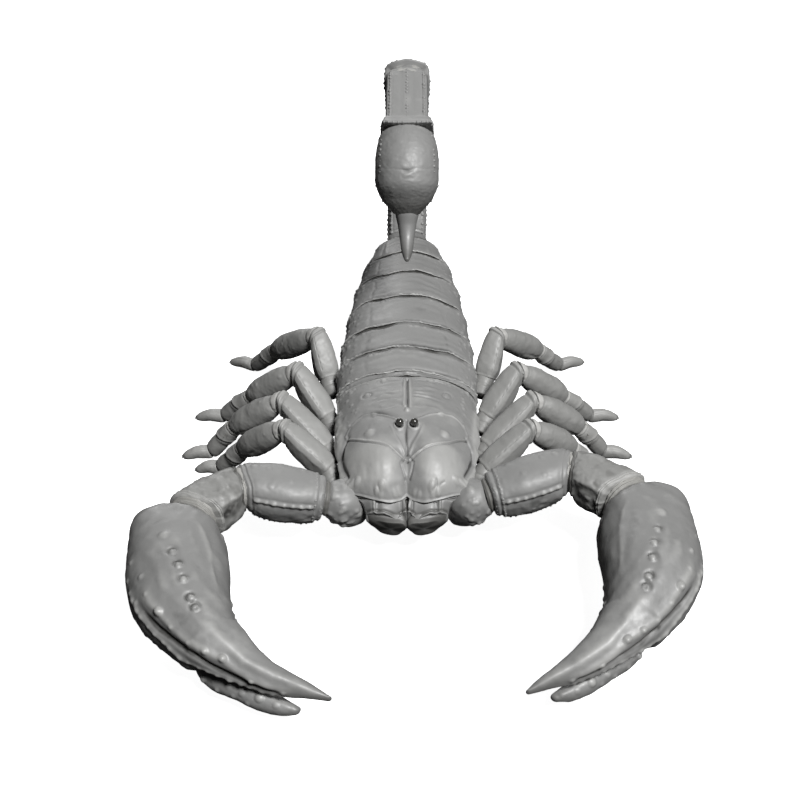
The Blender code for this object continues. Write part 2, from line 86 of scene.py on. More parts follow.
# Trunk: each table gives a value at places along Y
TRUNK_HALF_WIDTH = {-12: 7.9, -8: 8.3, -4.5: 8.45, 0: 8.5, 3.2: 8.7, 9.3: 8.4, 14.7: 7.95, 20.8: 7.3,
                    26.5: 6.5, 32.1: 5.6, 35.0: 5.1, 36.5: 4.85}
TRUNK_TOP = {-12: 13.4, -9.9: 13.9, -5: 13.8, 0: 13.3, 5.4: 13.6, 10.6: 13.6, 17: 13.3, 23.8: 12.5,
             29.9: 11.5, 36.5: 10.0}
MARGIN_HEIGHT = {-18: 8.6, -12: 8.5, 0: 8.5, 17: 8.3, 29.9: 7.6, 36.5: 6.9}
BELLY_HEIGHT = {-17: 5.0, -12: 4.4, 0: 4.2, 10: 4.2, 20: 4.5, 30: 5.0, 36.5: 5.5}
PLATE_SKIRT = 0.35
BELLY_INSET = 0.45
BELLY_POWER = 2.6
PLATE_SINK = 0.15
TERGITE_EDGES = (0.0, 0.75, 5.4, 10.6, 17.0, 23.8, 29.9, 36.5)
STERNITE_EDGES = (6.4, 11.4, 17.4, 23.9, 29.9, 36.5)

# Carapace
RIM_REACH = 6.4
CARAPACE_HALF_WIDTH = {-18.6: 5.2, -17.8: 5.9, -16.6: 6.6, -14.5: 7.3, -12: 7.85, -8: 8.3, -4.5: 8.45, 0: 8.5}
CARAPACE_TOP = {-18.6: 9.9, -17.2: 11.1, -15: 12.6, -12: 13.6, -9.9: 13.9, -5: 13.8, 0: 13.3}
FRONT_RIM = {0: -17.2, 1.0: -17.8, 2.4: -18.2, 4.0: -17.9, 5.4: -17.2, 6.4: -16.4}
VALLEY_SHARE = {-18.6: 1.0, -14: 1.0, -11: 0.3, -9: 0.0}
EYE_PLACE = (0.85, -9.9, 14.25)
EYE_RADIUS = 0.47

# Tail and telson, as (Y, Z)
TAIL_JOINTS = ((36.55, 7.3), (41.6, 13.1), (43.0, 21.0), (40.8, 29.0), (33.6, 35.2), (23.4, 32.5))
TAIL_HALF_WIDTH = (2.75, 2.75, 2.75, 2.75, 2.8)
TAIL_HALF_DEPTH = (2.4, 2.55, 2.6, 2.65, 2.5)
TAIL_FLARE = (1.06, 1.06, 1.06, 1.05, 1.17)
TAIL_ROOT_HEIGHT = 0.66
VESICLE_PATH = ((23.7, 32.5), (22.2, 31.95), (20.8, 30.7), (19.5, 28.9), (18.6, 27.1), (17.95, 25.2))
VESICLE_HALF_WIDTH = (3.35, 3.78, 3.98, 3.98, 3.35, 1.75)
VESICLE_HALF_DEPTH = (2.6, 3.2, 3.75, 3.95, 2.65, 1.25)
STING_PATH = ((18.6, 26.6), (18.0, 25.2), (17.1, 23.8), (15.9, 22.6), (14.4, 21.8), (12.9, 21.5))
STING_RADIUS = (1.4, 1.5, 1.16, 0.9, 0.7, 0.32)

# Legs, left side, front to rear: root, start of femur, knee, end of patella, end of tibia, heel, tip
LEG_JOINTS = (
    ((8.3, -12.0, 6.0), (9.2, -10.4, 7.3), (14.6, -7.5, 11.2), (20.0, -4.3, 5.4), (21.6, -3.5, 3.0),
     (23.3, -2.9, 1.1), (26.3, -2.7, 0.45)),
    ((8.5, -7.8, 6.2), (9.6, -6.6, 7.3), (15.2, -2.5, 11.4), (21.4, -0.3, 5.4), (23.2, 0.2, 3.0),
     (24.7, 0.1, 1.1), (28.2, -0.2, 0.45)),
    ((8.8, -2.3, 6.2), (9.8, -0.8, 7.3), (13.7, 3.2, 11.5), (19.8, 5.7, 5.4), (22.0, 6.7, 3.0),
     (23.7, 7.1, 1.1), (27.4, 7.5, 0.45)),
    ((9.2, 4.9, 6.2), (9.9, 6.8, 7.4), (11.5, 10.5, 11.5), (17.3, 15.5, 5.4), (19.0, 16.8, 3.0),
     (20.6, 17.9, 1.1), (24.0, 19.4, 0.45)),
)

# Pedipalps: shoulder, elbow and wrist joints, then the level tip of the fixed finger
ARMS = {
    "left": {"shoulder": (9.5, -15.85, 8.3), "elbow": (18.8, -13.7, 9.9), "wrist": (24.3, -17.35, 9.4),
             "tip": (12.25, -42.1), "gape": -0.45},
    "right": {"shoulder": (-9.5, -16.45, 8.3), "elbow": (-18.9, -16.35, 9.9), "wrist": (-23.5, -20.4, 9.4),
              "tip": (-7.9, -42.8), "gape": 0.0},
}
MOUTH_PATH = ((-14.2, 6.8), (-16.4, 6.8), (-18.25, 6.5))
MOUTH_HALF_WIDTH = (0.5, 0.5, 0.45)
MOUTH_HALF_DEPTH = (1.9, 1.9, 1.5)
TROCHANTER_PATH = ((5.5, -15.2, 5.3), (6.6, -15.7, 6.2), (7.6, -16.0, 7.4), (9.1, -16.15, 8.1))
TROCHANTER_RADIUS = (1.7, 2.2, 2.55, 1.9)
HAND_WAIST = 0.45
HAND_INNER = {-3.2: 4.8, -3.0: 3.8, -2.4: 3.0, -1.4: 2.2, 0.0: 1.2, 1.5: 0.1, 3.0: -0.95, 4.2: -0.95,
              6.5: -0.2, 9.0: 1.0, 11.0: 2.1, 13.0: 3.0, 15.5: 3.6, 18.0: 3.5, 21.0: 2.85, 23.0: 1.95,
              25.0: 0.95, 26.6: 0.22, 27.5: -0.12}
HAND_OUTER = {-3.2: 6.0, -3.0: 6.6, -2.4: 7.2, -1.4: 7.9, 0.0: 8.8, 1.5: 9.7, 3.0: 10.6, 5.0: 11.4,
              7.0: 11.9, 9.0: 12.0, 11.0: 11.7, 13.0: 11.1, 15.5: 10.3, 18.0: 8.9, 21.0: 6.8, 23.0: 5.3,
              25.0: 3.1, 26.5: 1.5, 27.2: 0.72, 27.5: 0.36}
HAND_TOP = {-3.2: 9.6, -3.0: 10.5, -2.4: 11.3, -1.4: 11.9, 0.0: 12.1, 3.0: 12.2, 7.0: 12.2, 11.0: 11.6,
            15.5: 10.2, 20.0: 8.4, 25.0: 6.4, 27.5: 5.5}
HAND_BOTTOM = {-3.2: 8.2, -3.0: 7.2, -2.4: 6.2, -1.4: 5.3, 0.0: 4.6, 3.0: 3.6, 7.0: 3.1, 11.0: 3.0,
               15.3: 3.3, 16.0: 4.9, 20.0: 4.9, 25.0: 4.7, 27.5: 4.8}
WRIST_PLACE = (-0.1, 0.3)
WRIST_FACING = (0.56, 0.83)
FINGER_PATH = ((14.9, 8.1, 3.9), (16.1, 7.35, 3.4), (17.3, 6.75, 3.2), (19.5, 6.05, 3.2), (22.0, 5.05, 3.1),
               (24.1, 3.85, 3.0), (25.3, 2.85, 3.0))
FINGER_HALF_WIDTH = (1.0, 1.75, 1.95, 1.5, 1.25, 0.95, 0.5)
FINGER_HALF_DEPTH = (0.8, 1.2, 1.3, 1.2, 1.1, 0.85, 0.45)
FINGER_ACROSS = (0.35, 0.94)

# Landmarks of the carapace's relief on one side, in plan
EYE_ARC = ((1.3, -8.8), (2.6, -7.9), (3.9, -7.2), (5.2, -7.0), (6.0, -7.3), (6.8, -7.9), (7.15, -8.9),
           (7.0, -9.9))
LOBE_SUTURE = ((7.0, -9.95), (6.0, -10.8), (4.85, -11.75), (3.7, -12.4), (2.6, -12.95), (1.95, -13.3),
               (1.3, -13.68), (0.5, -14.05), (0.0, -14.25))
EYE_BROW = ((1.9, -9.9), (1.4, -11.1), (0.75, -12.2), (0.3, -13.2), (0.2, -14.2))
CHEEK_GROOVE = ((7.0, -9.7), (7.45, -10.7), (7.6, -11.8), (7.2, -13.4), (6.7, -14.9))
CHEEK_RIDGE = ((8.3, -3.5), (8.1, -6.0), (8.15, -8.0), (7.9, -9.6), (8.15, -11.0))
CARAPACE_BUMPS = ((4.35, -10.55, 0.7, 0.2), (4.7, -3.1, 0.42, 0.13), (5.6, -15.9, 0.5, 0.18),
                  (6.15, -15.8, 0.45, 0.2), (2.87, -17.0, 0.5, 0.2), (3.5, -17.3, 0.4, 0.2),
                  (3.9, -7.35, 0.45, 0.12), (2.7, -0.95, 0.5, 0.15))

# Landmarks of the claw's relief as (U, V, Z)
PALM_BEADS = ((3.3, 5.6, 12.2), (6.3, 6.0, 12.0), (8.2, 6.5, 11.7), (10.1, 6.9, 11.5), (12.4, 7.3, 11.2),
              (13.7, 7.4, 11.0))
UPPER_EDGE = ((6.4, 10.2, 10.4), (9.0, 10.5, 10.2), (11.2, 10.5, 10.0), (13.1, 10.2, 9.4), (15.3, 9.5, 8.8),
              (17.5, 8.7, 8.5), (19.1, 7.6, 8.1), (20.6, 6.8, 7.2), (21.8, 5.9, 6.6), (23.6, 4.7, 6.0),
              (24.8, 3.4, 5.8))
EDGE_TUBERCLES = ((3.4, 9.8, 10.3, 0.4, 0.12), (4.5, 11.0, 9.2, 0.4, 0.12), (6.4, 10.0, 10.8, 0.45, 0.18),
                  (8.0, 11.7, 9.3, 0.4, 0.14), (8.6, 10.4, 10.3, 0.35, 0.1), (11.2, 10.5, 10.2, 0.6, 0.36),
                  (13.2, 10.2, 9.3, 0.35, 0.1), (15.6, 9.5, 8.7, 0.35, 0.1), (17.5, 8.7, 8.6, 0.45, 0.24),
                  (19.1, 7.5, 8.2, 0.5, 0.28), (21.8, 5.9, 6.4, 0.4, 0.18), (24.4, 3.7, 5.6, 0.35, 0.14))
EDGE_GROOVE = ((8.0, 11.7, 9.6), (9.9, 11.6, 9.1), (12.0, 11.3, 8.6), (14.4, 10.6, 8.2), (16.6, 9.5, 7.8),
               (18.0, 8.6, 7.2), (19.9, 7.4, 6.6), (21.9, 6.1, 6.0), (23.9, 4.4, 5.5))
LOWER_KEEL = ((5.5, 11.3, 9.2), (7.0, 11.7, 9.0), (9.4, 11.9, 8.5), (11.7, 11.8, 7.8), (13.4, 11.2, 7.2),
              (15.1, 10.3, 6.6), (16.7, 9.5, 6.2), (18.4, 8.6, 6.0), (20.0, 7.6, 5.6), (23.0, 5.0, 5.0),
              (24.6, 3.3, 4.9), (26.3, 1.5, 5.0))
TOP_RIDGE = ((14.6, 7.2, 10.2), (17.5, 6.8, 9.4), (20.4, 5.9, 8.3), (22.1, 4.6, 7.6), (24.0, 3.2, 7.0),
             (25.6, 1.7, 6.2), (27.2, 0.4, 5.5))
INNER_LINE = ((2.6, 1.6, 12.0), (4.3, 1.6, 11.6), (6.3, 2.0, 11.3), (9.0, 3.1, 11.1), (11.1, 3.9, 10.5),
              (13.0, 4.8, 9.8))
PALM_KNOBS = ((4.1, -0.6, 8.8, 0.5, 0.14), (12.2, 2.7, 7.2, 0.5, 0.22), (13.6, 3.2, 7.2, 0.45, 0.16),
              (14.8, 3.7, 7.6, 0.5, 0.22), (16.0, 3.9, 7.4, 0.4, 0.12), (18.4, 3.5, 6.8, 0.4, 0.12))
FINGER_KNOBS = ((17.6, 8.4, 4.2, 0.5, 0.12), (19.4, 7.5, 4.2, 0.4, 0.08), (20.9, 6.9, 4.2, 0.45, 0.1),
                (22.6, 5.6, 4.3, 0.6, 0.26), (24.2, 4.6, 4.0, 0.45, 0.08), (16.6, 8.7, 3.6, 0.5, 0.22),
                (18.4, 8.2, 3.2, 0.4, 0.14), (20.2, 7.5, 3.2, 0.4, 0.14), (21.8, 6.6, 3.2, 0.4, 0.12))
FINGER_SPINE = ((17.5, 7.2, 4.6), (20.0, 6.3, 4.5), (23.0, 4.7, 4.4), (25.2, 3.1, 4.0))

# Ridges and grooves of the carapace on both sides: line in plan, how far it is moved, width, height
CARAPACE_LINES = (
    (((0.3, -0.8), (0.36, -6.6)), (0, 0), 0.2, 0.14),
    (EYE_ARC, (0, 0), 0.12, 0.15),
    (EYE_ARC, (0, -0.34), 0.3, -0.12),
    (LOBE_SUTURE, (0, 0), 0.08, -0.22),
    (LOBE_SUTURE, (0, -0.2), 0.12, 0.12),
    (EYE_BROW, (0, 0), 0.14, 0.08),
    (EYE_BROW, (0.28, 0.1), 0.24, -0.07),
    (((0, -9.2), (0, -13.4)), (0, 0), 0.1, -0.24),
    (((0.0, -13.8), (0.0, -16.9)), (0, 0), 0.34, -0.12),
    (((0.15, -13.5), (0.75, -14.5), (0.25, -16.2)), (0, 0), 0.12, -0.14),
    (((1.7, -13.2), (1.1, -12.9), (0.5, -13.4)), (0, 0), 0.3, -0.08),
    (CHEEK_GROOVE, (0, 0), 0.17, -0.34),
    (CHEEK_RIDGE, (0, 0), 0.32, 0.26),
    (((7.9, -11.6), (7.65, -13.2), (7.2, -14.4), (6.5, -15.9)), (0, 0), 0.24, 0.3),
)
# The slit behind the eyes and two cracks on the left lobe: line, width, height
CARAPACE_MARKS = ((((0.04, -0.5), (0.0, -3.0), (0.08, -6.8)), 0.1, -0.33),
                  (((3.25, -16.5), (3.35, -16.9), (2.85, -17.35)), 0.09, -0.1),
                  (((4.2, -16.5), (3.75, -16.8)), 0.09, -0.1))
SLIT_KNOBS = ((0.0, -7.35, 0.42, 0.28), (-0.1, -6.7, 0.3, 0.16))

# Jaws
CHELICERA_ROOT = (2.55, -15.2, 6.1)
CHELICERA_KNUCKLE = (2.35, -18.8, 6.45)
CHELICERA_TIP = (1.95, -19.6, 6.0)
PANEL_EDGE = ((0.0, -18.9), (0.5, -18.95), (1.15, -19.3), (2.0, -19.2), (3.0, -19.1), (4.15, -18.8),
              (4.9, -18.3))
PANEL_HEIGHT = ((0.0, 8.6), (0.3, 8.4), (1.15, 7.55), (1.9, 8.05), (2.6, 8.45), (4.1, 8.2), (4.7, 7.6),
                (6.5, 7.4))

# Relief of the arm's upper segment: place along it, angle from the front, radius, height
FEMUR_BUMPS = ((0.82, 105.0, 0.6, 0.13), (0.66, 100.0, 0.45, 0.08), (0.5, 125.0, 0.4, 0.07),
               (0.42, 78.0, 0.4, 0.06), (0.25, 115.0, 0.4, 0.07), (0.7, 60.0, 0.45, 0.06))
FEMUR_LOWER_KEEL = -52

# Tail rings
ROOF_WAY = np.array((0.0, 0.45, 0.89))      # the way in which the tail's highest joint is peaked
TAIL_POWER = 3.2
KEELS = (45, 135, 8, 172, 226, 314, 254, 286)      # angles round a ring in degrees
LAST_KEELS = (45, 135, 229, 311, 270)

# Lower legs: half depth from the knee (0) to the tip (4), and the two hooks' paths ahead, up and aside
SHIN_RADIUS = {0: 1.04, 0.03: 1.1, 0.07: 1.1, 0.1: 1.16, 0.2: 1.42, 0.4: 1.62, 0.7: 1.68, 0.88: 1.46,
               0.96: 1.22, 1.0: 1.06, 1.08: 1.08, 1.14: 1.12, 1.5: 1.18, 1.75: 1.2, 1.9: 1.14, 2.0: 1.08,
               2.3: 1.1, 2.7: 1.06, 2.93: 0.92, 3.0: 0.8, 3.07: 0.88, 3.3: 0.86, 3.7: 0.7, 3.9: 0.55,
               4.0: 0.36}
SHIN_WIDTH_SHARE = 0.92
HOOK_PATH = ((-0.62, 0.16, 0.08), (-0.12, 0.22, 0.14), (0.13, 0.08, 0.16), (0.24, -0.12, 0.16))
HOOK_RADIUS = (0.2, 0.15, 0.1, 0.03)

# Meshes
RING_STEP = 0.11            # between the rings of tail and lower legs
DOME_CAP = ((0.92, 0.3), (0.7, 0.75), (0.35, 0.95))        # ring size and how far out it stands
HOLLOW_CAP = ((0.985, -0.02), (0.95, -0.7), (0.5, -1.0))
RELIEF_RANGE = 0.6          # from the deepest groove to the highest bead that colour follows

# Repeated parts, in metres and degrees
COMB_TOOTH_RADIUS = 0.00017
COMB_TOOTH_LENGTH = 0.00055
COMB_TURN = 34.6
BRISTLE_RADIUS = 0.00002
BRISTLE_TIP = 0.000008
GROWN_RELIEF = 0.58         # repeated parts take their colour from a little above a plain surface, a touch of painted highlight

# Materials
MOTTLE_SCALE = 450.0        # per metre, so patches are about 2 mm across
FINE_SCALE = 1800.0         # per metre, so specks are about half a millimetre across
CUTICLE_IOR = 1.56
CHITINS = {                 # colours of the painted shade in hollows, the body and the painted highlight on crests, and what differs from plain chitin
    # thick plates: even, with faint mottling
    "plate_chitin": ("hollow_shade", "plate", "crest_highlight", {"speckle": 0.05}),
    # thinner cuticle of the legs: a little lighter and duller
    "limb_chitin": ("hollow_shade", "limb", "crest_highlight", {"rough": 0.57}),
    # the hardest cuticle: darker, with more gloss
    "claw_chitin": ("hollow_shade", "claw", "crest_highlight", {"rough": 0.52, "coat": 0.14}),
    # soft underside plates: pale, with smooth low relief
    "belly_chitin": ("limb", "belly", "membrane", {"rough": 0.5, "coat": 0.05}),
    # unhardened folded skin: palest and dullest, with the finest grain
    "joint_membrane": ("limb", "belly", "membrane", {"rough": 0.6, "coat": 0.0, "grain_mm": 0.1}),
    # dense cuticle of the sting: smooth, darkening to its point
    "sting_chitin": ("plate", "claw", "crest_highlight", {"rough": 0.5, "coat": 0.12, "speckle": 0.05}),
}

# Stage
CAMERA_ELEVATION = 39.0
CAMERA_DISTANCE = 175.0
CAMERA_TARGET = (0.0, -4.35, 13.0)
CAMERA_SHIFT = -0.00875
SENSOR_WIDTH = 36.0
CAMERA_RANGE = (0.005, 20.0)      # nearest and farthest thing seen, in metres
FLOOR_RADIUS = 4.0          # metres
FLOOR_GLOW = 0.95
FLOOR_BOUNCE = 0.03
LIGHT_DISTANCE = 1.2        # metres
LIGHTS = {                  # azimuth, elevation, width in metres, share of the main light's power
    "key_light": (38, 58, 0.3, 1.0),
    "back_light": (190, 20, 0.5, 0.2),
}


def unit(vector):
    return vector / np.maximum(np.linalg.norm(vector, axis=-1, keepdims=True), TINY)


def smooth_value(table, place):
    """Read a table of place: value with a smooth curve that never overshoots its points."""
    keys = np.array(sorted(table), float)
    values = np.array([table[k] for k in sorted(table)], float)
    slopes = np.diff(values) / np.diff(keys)
    tangents = np.zeros(len(keys))
    tangents[0], tangents[-1] = slopes[0], slopes[-1]
    same_way = slopes[:-1] * slopes[1:] > 0
    mean = 2 * slopes[:-1] * slopes[1:] / np.where(same_way, slopes[:-1] + slopes[1:], 1.0)
    tangents[1:-1] = np.where(same_way, mean, 0.0)
    place = np.clip(place, keys[0], keys[-1])
    i = np.clip(np.searchsorted(keys, place) - 1, 0, len(keys) - 2)
    span = keys[i + 1] - keys[i]
    t = (place - keys[i]) / span
    rise = (2 * t**3 - 3 * t**2 + 1) * values[i] + (3 * t**2 - 2 * t**3) * values[i + 1]
    lean = (t**3 - 2 * t**2 + t) * tangents[i] + (t**3 - t**2) * tangents[i + 1]
    return rise + span * lean


def ramp(low, high, value):
    """0 below low and 1 above high, with a smooth step between."""
    t = np.clip((value - low) / (high - low), 0.0, 1.0)
    return t * t * (3 - 2 * t)


def bell(value, width):
    return np.exp(-(value / width) ** 2)


def random_at(cell, seed):
    """A fixed random number from 0 to 1 for each whole-numbered cell."""
    mixed = cell[..., 0] * 73856093 ^ cell[..., 1] * 19349663 ^ cell[..., 2] * 83492791 ^ (seed + 1) * 97531
    mixed = (mixed & 0xFFFFFFFF) * 40503
    mixed = (mixed ^ mixed >> 13) & 0x7FFFFFFF
    mixed = (mixed * 69069 ^ mixed >> 7) & 0xFFFFFF
    return mixed / 0xFFFFFF


def wobble(points, size, seed, octaves=3):
    """Smooth noise from about -1 to 1 whose largest features are about size mm across."""
    total = 0.0
    for octave in range(octaves):
        place = points / size * 2**octave
        cell = np.floor(place).astype(np.int64)
        t = place - cell
        t = t * t * (3 - 2 * t)
        value = 0.0
        for corner in itertools.product((0, 1), repeat=3):
            share = np.prod(np.where(np.array(corner) == 1, t, 1 - t), axis=-1)
            value = value + share * random_at(cell + np.array(corner), seed + 11 * octave)
        total = total + (2 * value - 1) * 0.5**octave
    return total


def pebbles(points, size, seed, fill=1.0):
    """Round granules from 0 to 1 high, at most one in each cell of a jittered grid size mm across."""
    base = np.floor(points / size).astype(np.int64)
    height = np.zeros(points.shape[:-1])
    for step in itertools.product((-1, 0, 1), repeat=3):
        cell = base + np.array(step)
        jitter = np.stack([random_at(cell, seed + k) for k in range(3)], -1)
        distance = np.linalg.norm(points / size - cell - 0.2 - 0.6 * jitter, axis=-1)
        radius = 0.35 + 0.3 * random_at(cell, seed + 3)
        dome = np.clip(1 - (distance / radius) ** 2, 0, 1)
        height = np.maximum(height, dome * (random_at(cell, seed + 4) < fill))
    return height


def domes(points, centres, radius, height):
    """Rounded bumps at the centres; radius and height are numbers or one number for each centre."""
    out = np.zeros(points.shape[:-1])
    radius, height = (np.broadcast_to(value, len(centres)) for value in (radius, height))
    for centre, r, h in zip(centres, radius, height):
        nearness = 1 - ((points - centre) ** 2).sum(-1) / r**2
        out = np.maximum(out, h * np.clip(nearness, 0, 1) ** 1.3)
    return out


def distance_to(points, line):
    """Distance from each point to a chain of straight lines."""
    line = np.asarray(line, float)
    best = np.full(points.shape[:-1], 1e9)
    for a, b in zip(line[:-1], line[1:]):
        step = b - a
        t = np.clip((points - a) @ step / max(step @ step, TINY), 0, 1)
        best = np.minimum(best, np.linalg.norm(points - a - t[..., None] * step, axis=-1))
    return best


def bumps(points, table):
    """Domes from rows of a centre, a radius and a height."""
    rows = np.array(table, float)
    return domes(points, rows[:, :-2], rows[:, -2], rows[:, -1])


def ridge(points, line, width, height):
    return height * bell(distance_to(points, line), width)


def rounded(turn, power):
    """Unit superellipse point at an angle: power 2 is a circle, larger is squarer."""
    c, s = np.cos(turn), np.sin(turn)
    return np.sign(c) * abs(c) ** (2 / power), np.sign(s) * abs(s) ** (2 / power)


def turns(count):
    return 2 * np.pi * (np.arange(count) + 0.5) / count


def sweep(centres, across, up, width, depth, power, count):
    """Rings of a superellipse section, one at each centre."""
    x, y = rounded(turns(count), power)
    width, depth = (np.broadcast_to(value, len(centres))[:, None] for value in (width, depth))
    across, up = (np.broadcast_to(way, centres.shape)[:, None, :] for way in (across, up))
    return centres[:, None, :] + across * (x * width)[..., None] + up * (y * depth)[..., None]


def curve_through(points, count):
    """A smooth curve through the points, and where along the point numbers each place is."""
    points = np.asarray(points, float)
    place = np.linspace(0, len(points) - 1, count)
    padded = np.vstack((2 * points[0] - points[1], points, 2 * points[-1] - points[-2]))
    i = np.minimum(place.astype(int), len(points) - 2)
    t = (place - i)[:, None]
    a, b, c, d = (padded[i + k] for k in range(4))
    out = 0.5 * (2 * b + (c - a) * t + (2 * a - 5 * b + 4 * c - d) * t**2 + (3 * b - a - 3 * c + d) * t**3)
    return out, place


def path_tube(path, half_widths, half_depths, power, rings, count, side=None):
    """A tube square to a smooth path, with its half sizes given at the path's points."""
    centres, place = curve_through(path, rings)
    tangents = unit(np.gradient(centres, axis=0))
    across = unit(np.cross(tangents, UP)) if side is None else np.broadcast_to(side, tangents.shape)
    up = np.cross(across, tangents)
    width, depth = (smooth_value(dict(enumerate(values)), place) for values in (half_widths, half_depths))
    return sweep(centres, across, up, width, depth, power, count)


def mitred(start, end, plane_a, plane_b, profile, power, rings, count, flatten=1.0):
    """A straight segment with mitred ends; profile gives its half width from 0 to 1 along it."""
    start, end = np.array(start, float), np.array(end, float)
    axis = unit(end - start)
    side = unit(np.cross(axis, UP)) if abs(axis[0]) > 1e-6 else ACROSS
    up = np.cross(side, axis)
    first = start + axis * (GAP / 2) / (axis @ plane_a)
    last = end - axis * (GAP / 2) / (axis @ plane_b)
    t = np.linspace(0, 1, rings)[:, None]
    centres = first + (last - first) * t
    planes = unit((1 - t) * plane_a + t * plane_b)
    radius = smooth_value(profile, t[:, 0])
    flat = sweep(centres, side, up, radius, radius * flatten, power, count)
    lean = ((flat - centres[:, None]) * planes[:, None]).sum(-1) / (planes @ axis)[:, None]
    return flat - axis * lean[..., None]


def grid_quads(rows, count):
    """Corner numbers of the four-sided faces between closed rings of points."""
    i, j = np.meshgrid(np.arange(rows - 1), np.arange(count), indexing="ij")
    after = (j + 1) % count
    return np.stack((i * count + j, (i + 1) * count + j, (i + 1) * count + after, i * count + after), -1)


class Skin:
    """A closed loft of rings of points, raised and tinted point by point; the tint includes painted shade."""

    def __init__(self, rings, bulge=0.0):
        self.base = np.asarray(rings, float)
        self.bulge = bulge
        along = np.gradient(self.base, axis=0)
        around = np.roll(self.base, -1, 1) - np.roll(self.base, 1, 1)
        normal = unit(np.cross(along, around))
        outward = ((self.base - self.base.mean(axis=1, keepdims=True)) * normal).sum()
        self.turned = outward < 0
        self.normal = -normal if self.turned else normal
        self.lift = np.zeros(self.base.shape[:2])
        self.tint_and_shade = np.zeros(self.base.shape[:2])
        self.t = np.linspace(0, 1, len(self.base))[:, None]
        self.turn = turns(self.base.shape[1])[None, :]

    def at(self, t, turn):
        """The surface point at a share of the length and an angle in degrees."""
        rings, count = self.lift.shape
        i = np.rint(np.clip(t, 0, 1) * (rings - 1)).astype(int)
        j = np.rint(np.asarray(turn) / 360 * count - 0.5).astype(int) % count
        return self.base[i, j]

    def line(self, turn, first=0.0, last=1.0, count=24):
        return self.at(np.linspace(first, last, count), np.full(count, turn))

    def bead_row(self, line, spacing, radius, height, seed=0):
        """Beads along a line, spaced and sized a little unevenly."""
        steps = np.linalg.norm(np.diff(line, axis=0), axis=1)
        travelled = np.concatenate(([0.0], np.cumsum(steps)))
        count = max(2, int(travelled[-1] / spacing))
        draw = np.random.default_rng(seed)
        places = (np.arange(count) + 0.5 + draw.uniform(-0.15, 0.15, count)) * travelled[-1] / count
        centres = np.stack([np.interp(places, travelled, line[:, k]) for k in range(3)], -1)
        size = draw.uniform(0.8, 1.15, count)
        self.lift += domes(self.base, centres, radius * size, height * size)

    def nearest(self, point):
        return self.base.reshape(-1, 3)[((self.base - point) ** 2).sum(-1).argmin()]

    def surface(self):
        return self.base + self.normal * self.lift[..., None]

    def mesh_parts(self):
        """Vertices, faces, relief and tint (which includes painted shade), with both ends closed."""
        body = self.surface()
        rings, relief, tint_and_shade = list(body), list(self.lift), list(self.tint_and_shade)
        for first in (True, False):
            edge = rings[0] if first else rings[-1]
            inner = rings[2] if first else rings[-3]
            middle = edge.mean(0)
            out = unit(middle - inner.mean(0))
            for size, rise in DOME_CAP if self.bulge >= 0 else HOLLOW_CAP:
                ring = middle + (edge - middle) * size + out * abs(self.bulge) * rise
                index = 0 if first else len(rings)
                rings.insert(index, ring)
                relief.insert(index, np.full(len(ring), -0.05))
                tint_and_shade.insert(index, (tint_and_shade[0] if first else tint_and_shade[-1]) * 1.0)
        count, loops = len(rings[0]), len(rings)
        poles = [rings[0].mean(0), rings[-1].mean(0)]
        points = np.vstack(rings + [np.array(poles)])
        quads = grid_quads(loops, count).reshape(-1, 4)
        j = np.arange(count)
        after = (j + 1) % count
        start, end = loops * count, loops * count + 1
        last = (loops - 1) * count
        fans = np.vstack((np.stack((np.full(count, start), j, after), -1),
                          np.stack((last + j, np.full(count, end), last + after), -1)))
        if self.turned:
            quads, fans = quads[:, ::-1], fans[:, ::-1]
        tail = np.array([0.0, 0.0])
        return points, quads, fans, np.concatenate(relief + [tail]), np.concatenate(tint_and_shade + [tail])


def shift():
    """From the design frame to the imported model's frame, in mm, measured from the two eyes."""
    low = np.minimum(*(np.array(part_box(f"eye_{side}")[0]) for side in SIDES))
    high = np.maximum(*(np.array(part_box(f"eye_{side}")[1]) for side in SIDES))
    middle = (low + high) / 2 / MM
    return np.array((middle[0], middle[1] - EYE_PLACE[1], -GROUND))


def write_layer(mesh, title, values):
    """Store one number for each point, for the materials to read."""
    layer = mesh.attributes.new(title, "FLOAT", "POINT")
    layer.data.foreach_set("value", np.asarray(values, np.float32))


def shell(name, skins, material):
    """One mesh object in metres from one or more skins."""
    points, faces, relief, tint_and_shade, start = [], [], [], [], 0
    for skin in skins:
        own_points, quads, fans, own_relief, own_tint_and_shade = skin.mesh_parts()
        points.append(own_points)
        faces += (quads + start).tolist() + (fans + start).tolist()
        relief.append(own_relief)
        tint_and_shade.append(own_tint_and_shade)
        start += len(own_points)
    points = (np.vstack(points) + shift()) * MM
    points[:, 2] = np.maximum(points[:, 2], 0.0)
    mesh = bpy.data.meshes.new(name)
    mesh.from_pydata(points.tolist(), [], faces)
    write_layer(mesh, "relief", np.clip(0.5 + np.concatenate(relief) / RELIEF_RANGE, 0, 1))
    # the tint layer: real pale membranes and dark tips, and painted shade in grooves and gaps
    write_layer(mesh, "tint_and_shade", np.concatenate(tint_and_shade))
    mesh.shade_smooth()
    mesh.materials.append(material)
    made = bpy.data.objects.new(name, mesh)
    bpy.context.scene.collection.objects.link(made)
    return made


def keep(piece, slot, *nodes):
    """Hand a finished piece to the frame."""
    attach(piece, BODY)
    if nodes:
        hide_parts(*nodes)


def dress(name, skins, title, slot, *nodes):
    """Build one piece from its skins in one finish and hand it over."""
    keep(shell(name, skins, finish(title)), slot, *nodes)


def mirrored(rings, side):
    return np.asarray(rings) * np.array((SIDES[side], 1.0, 1.0))


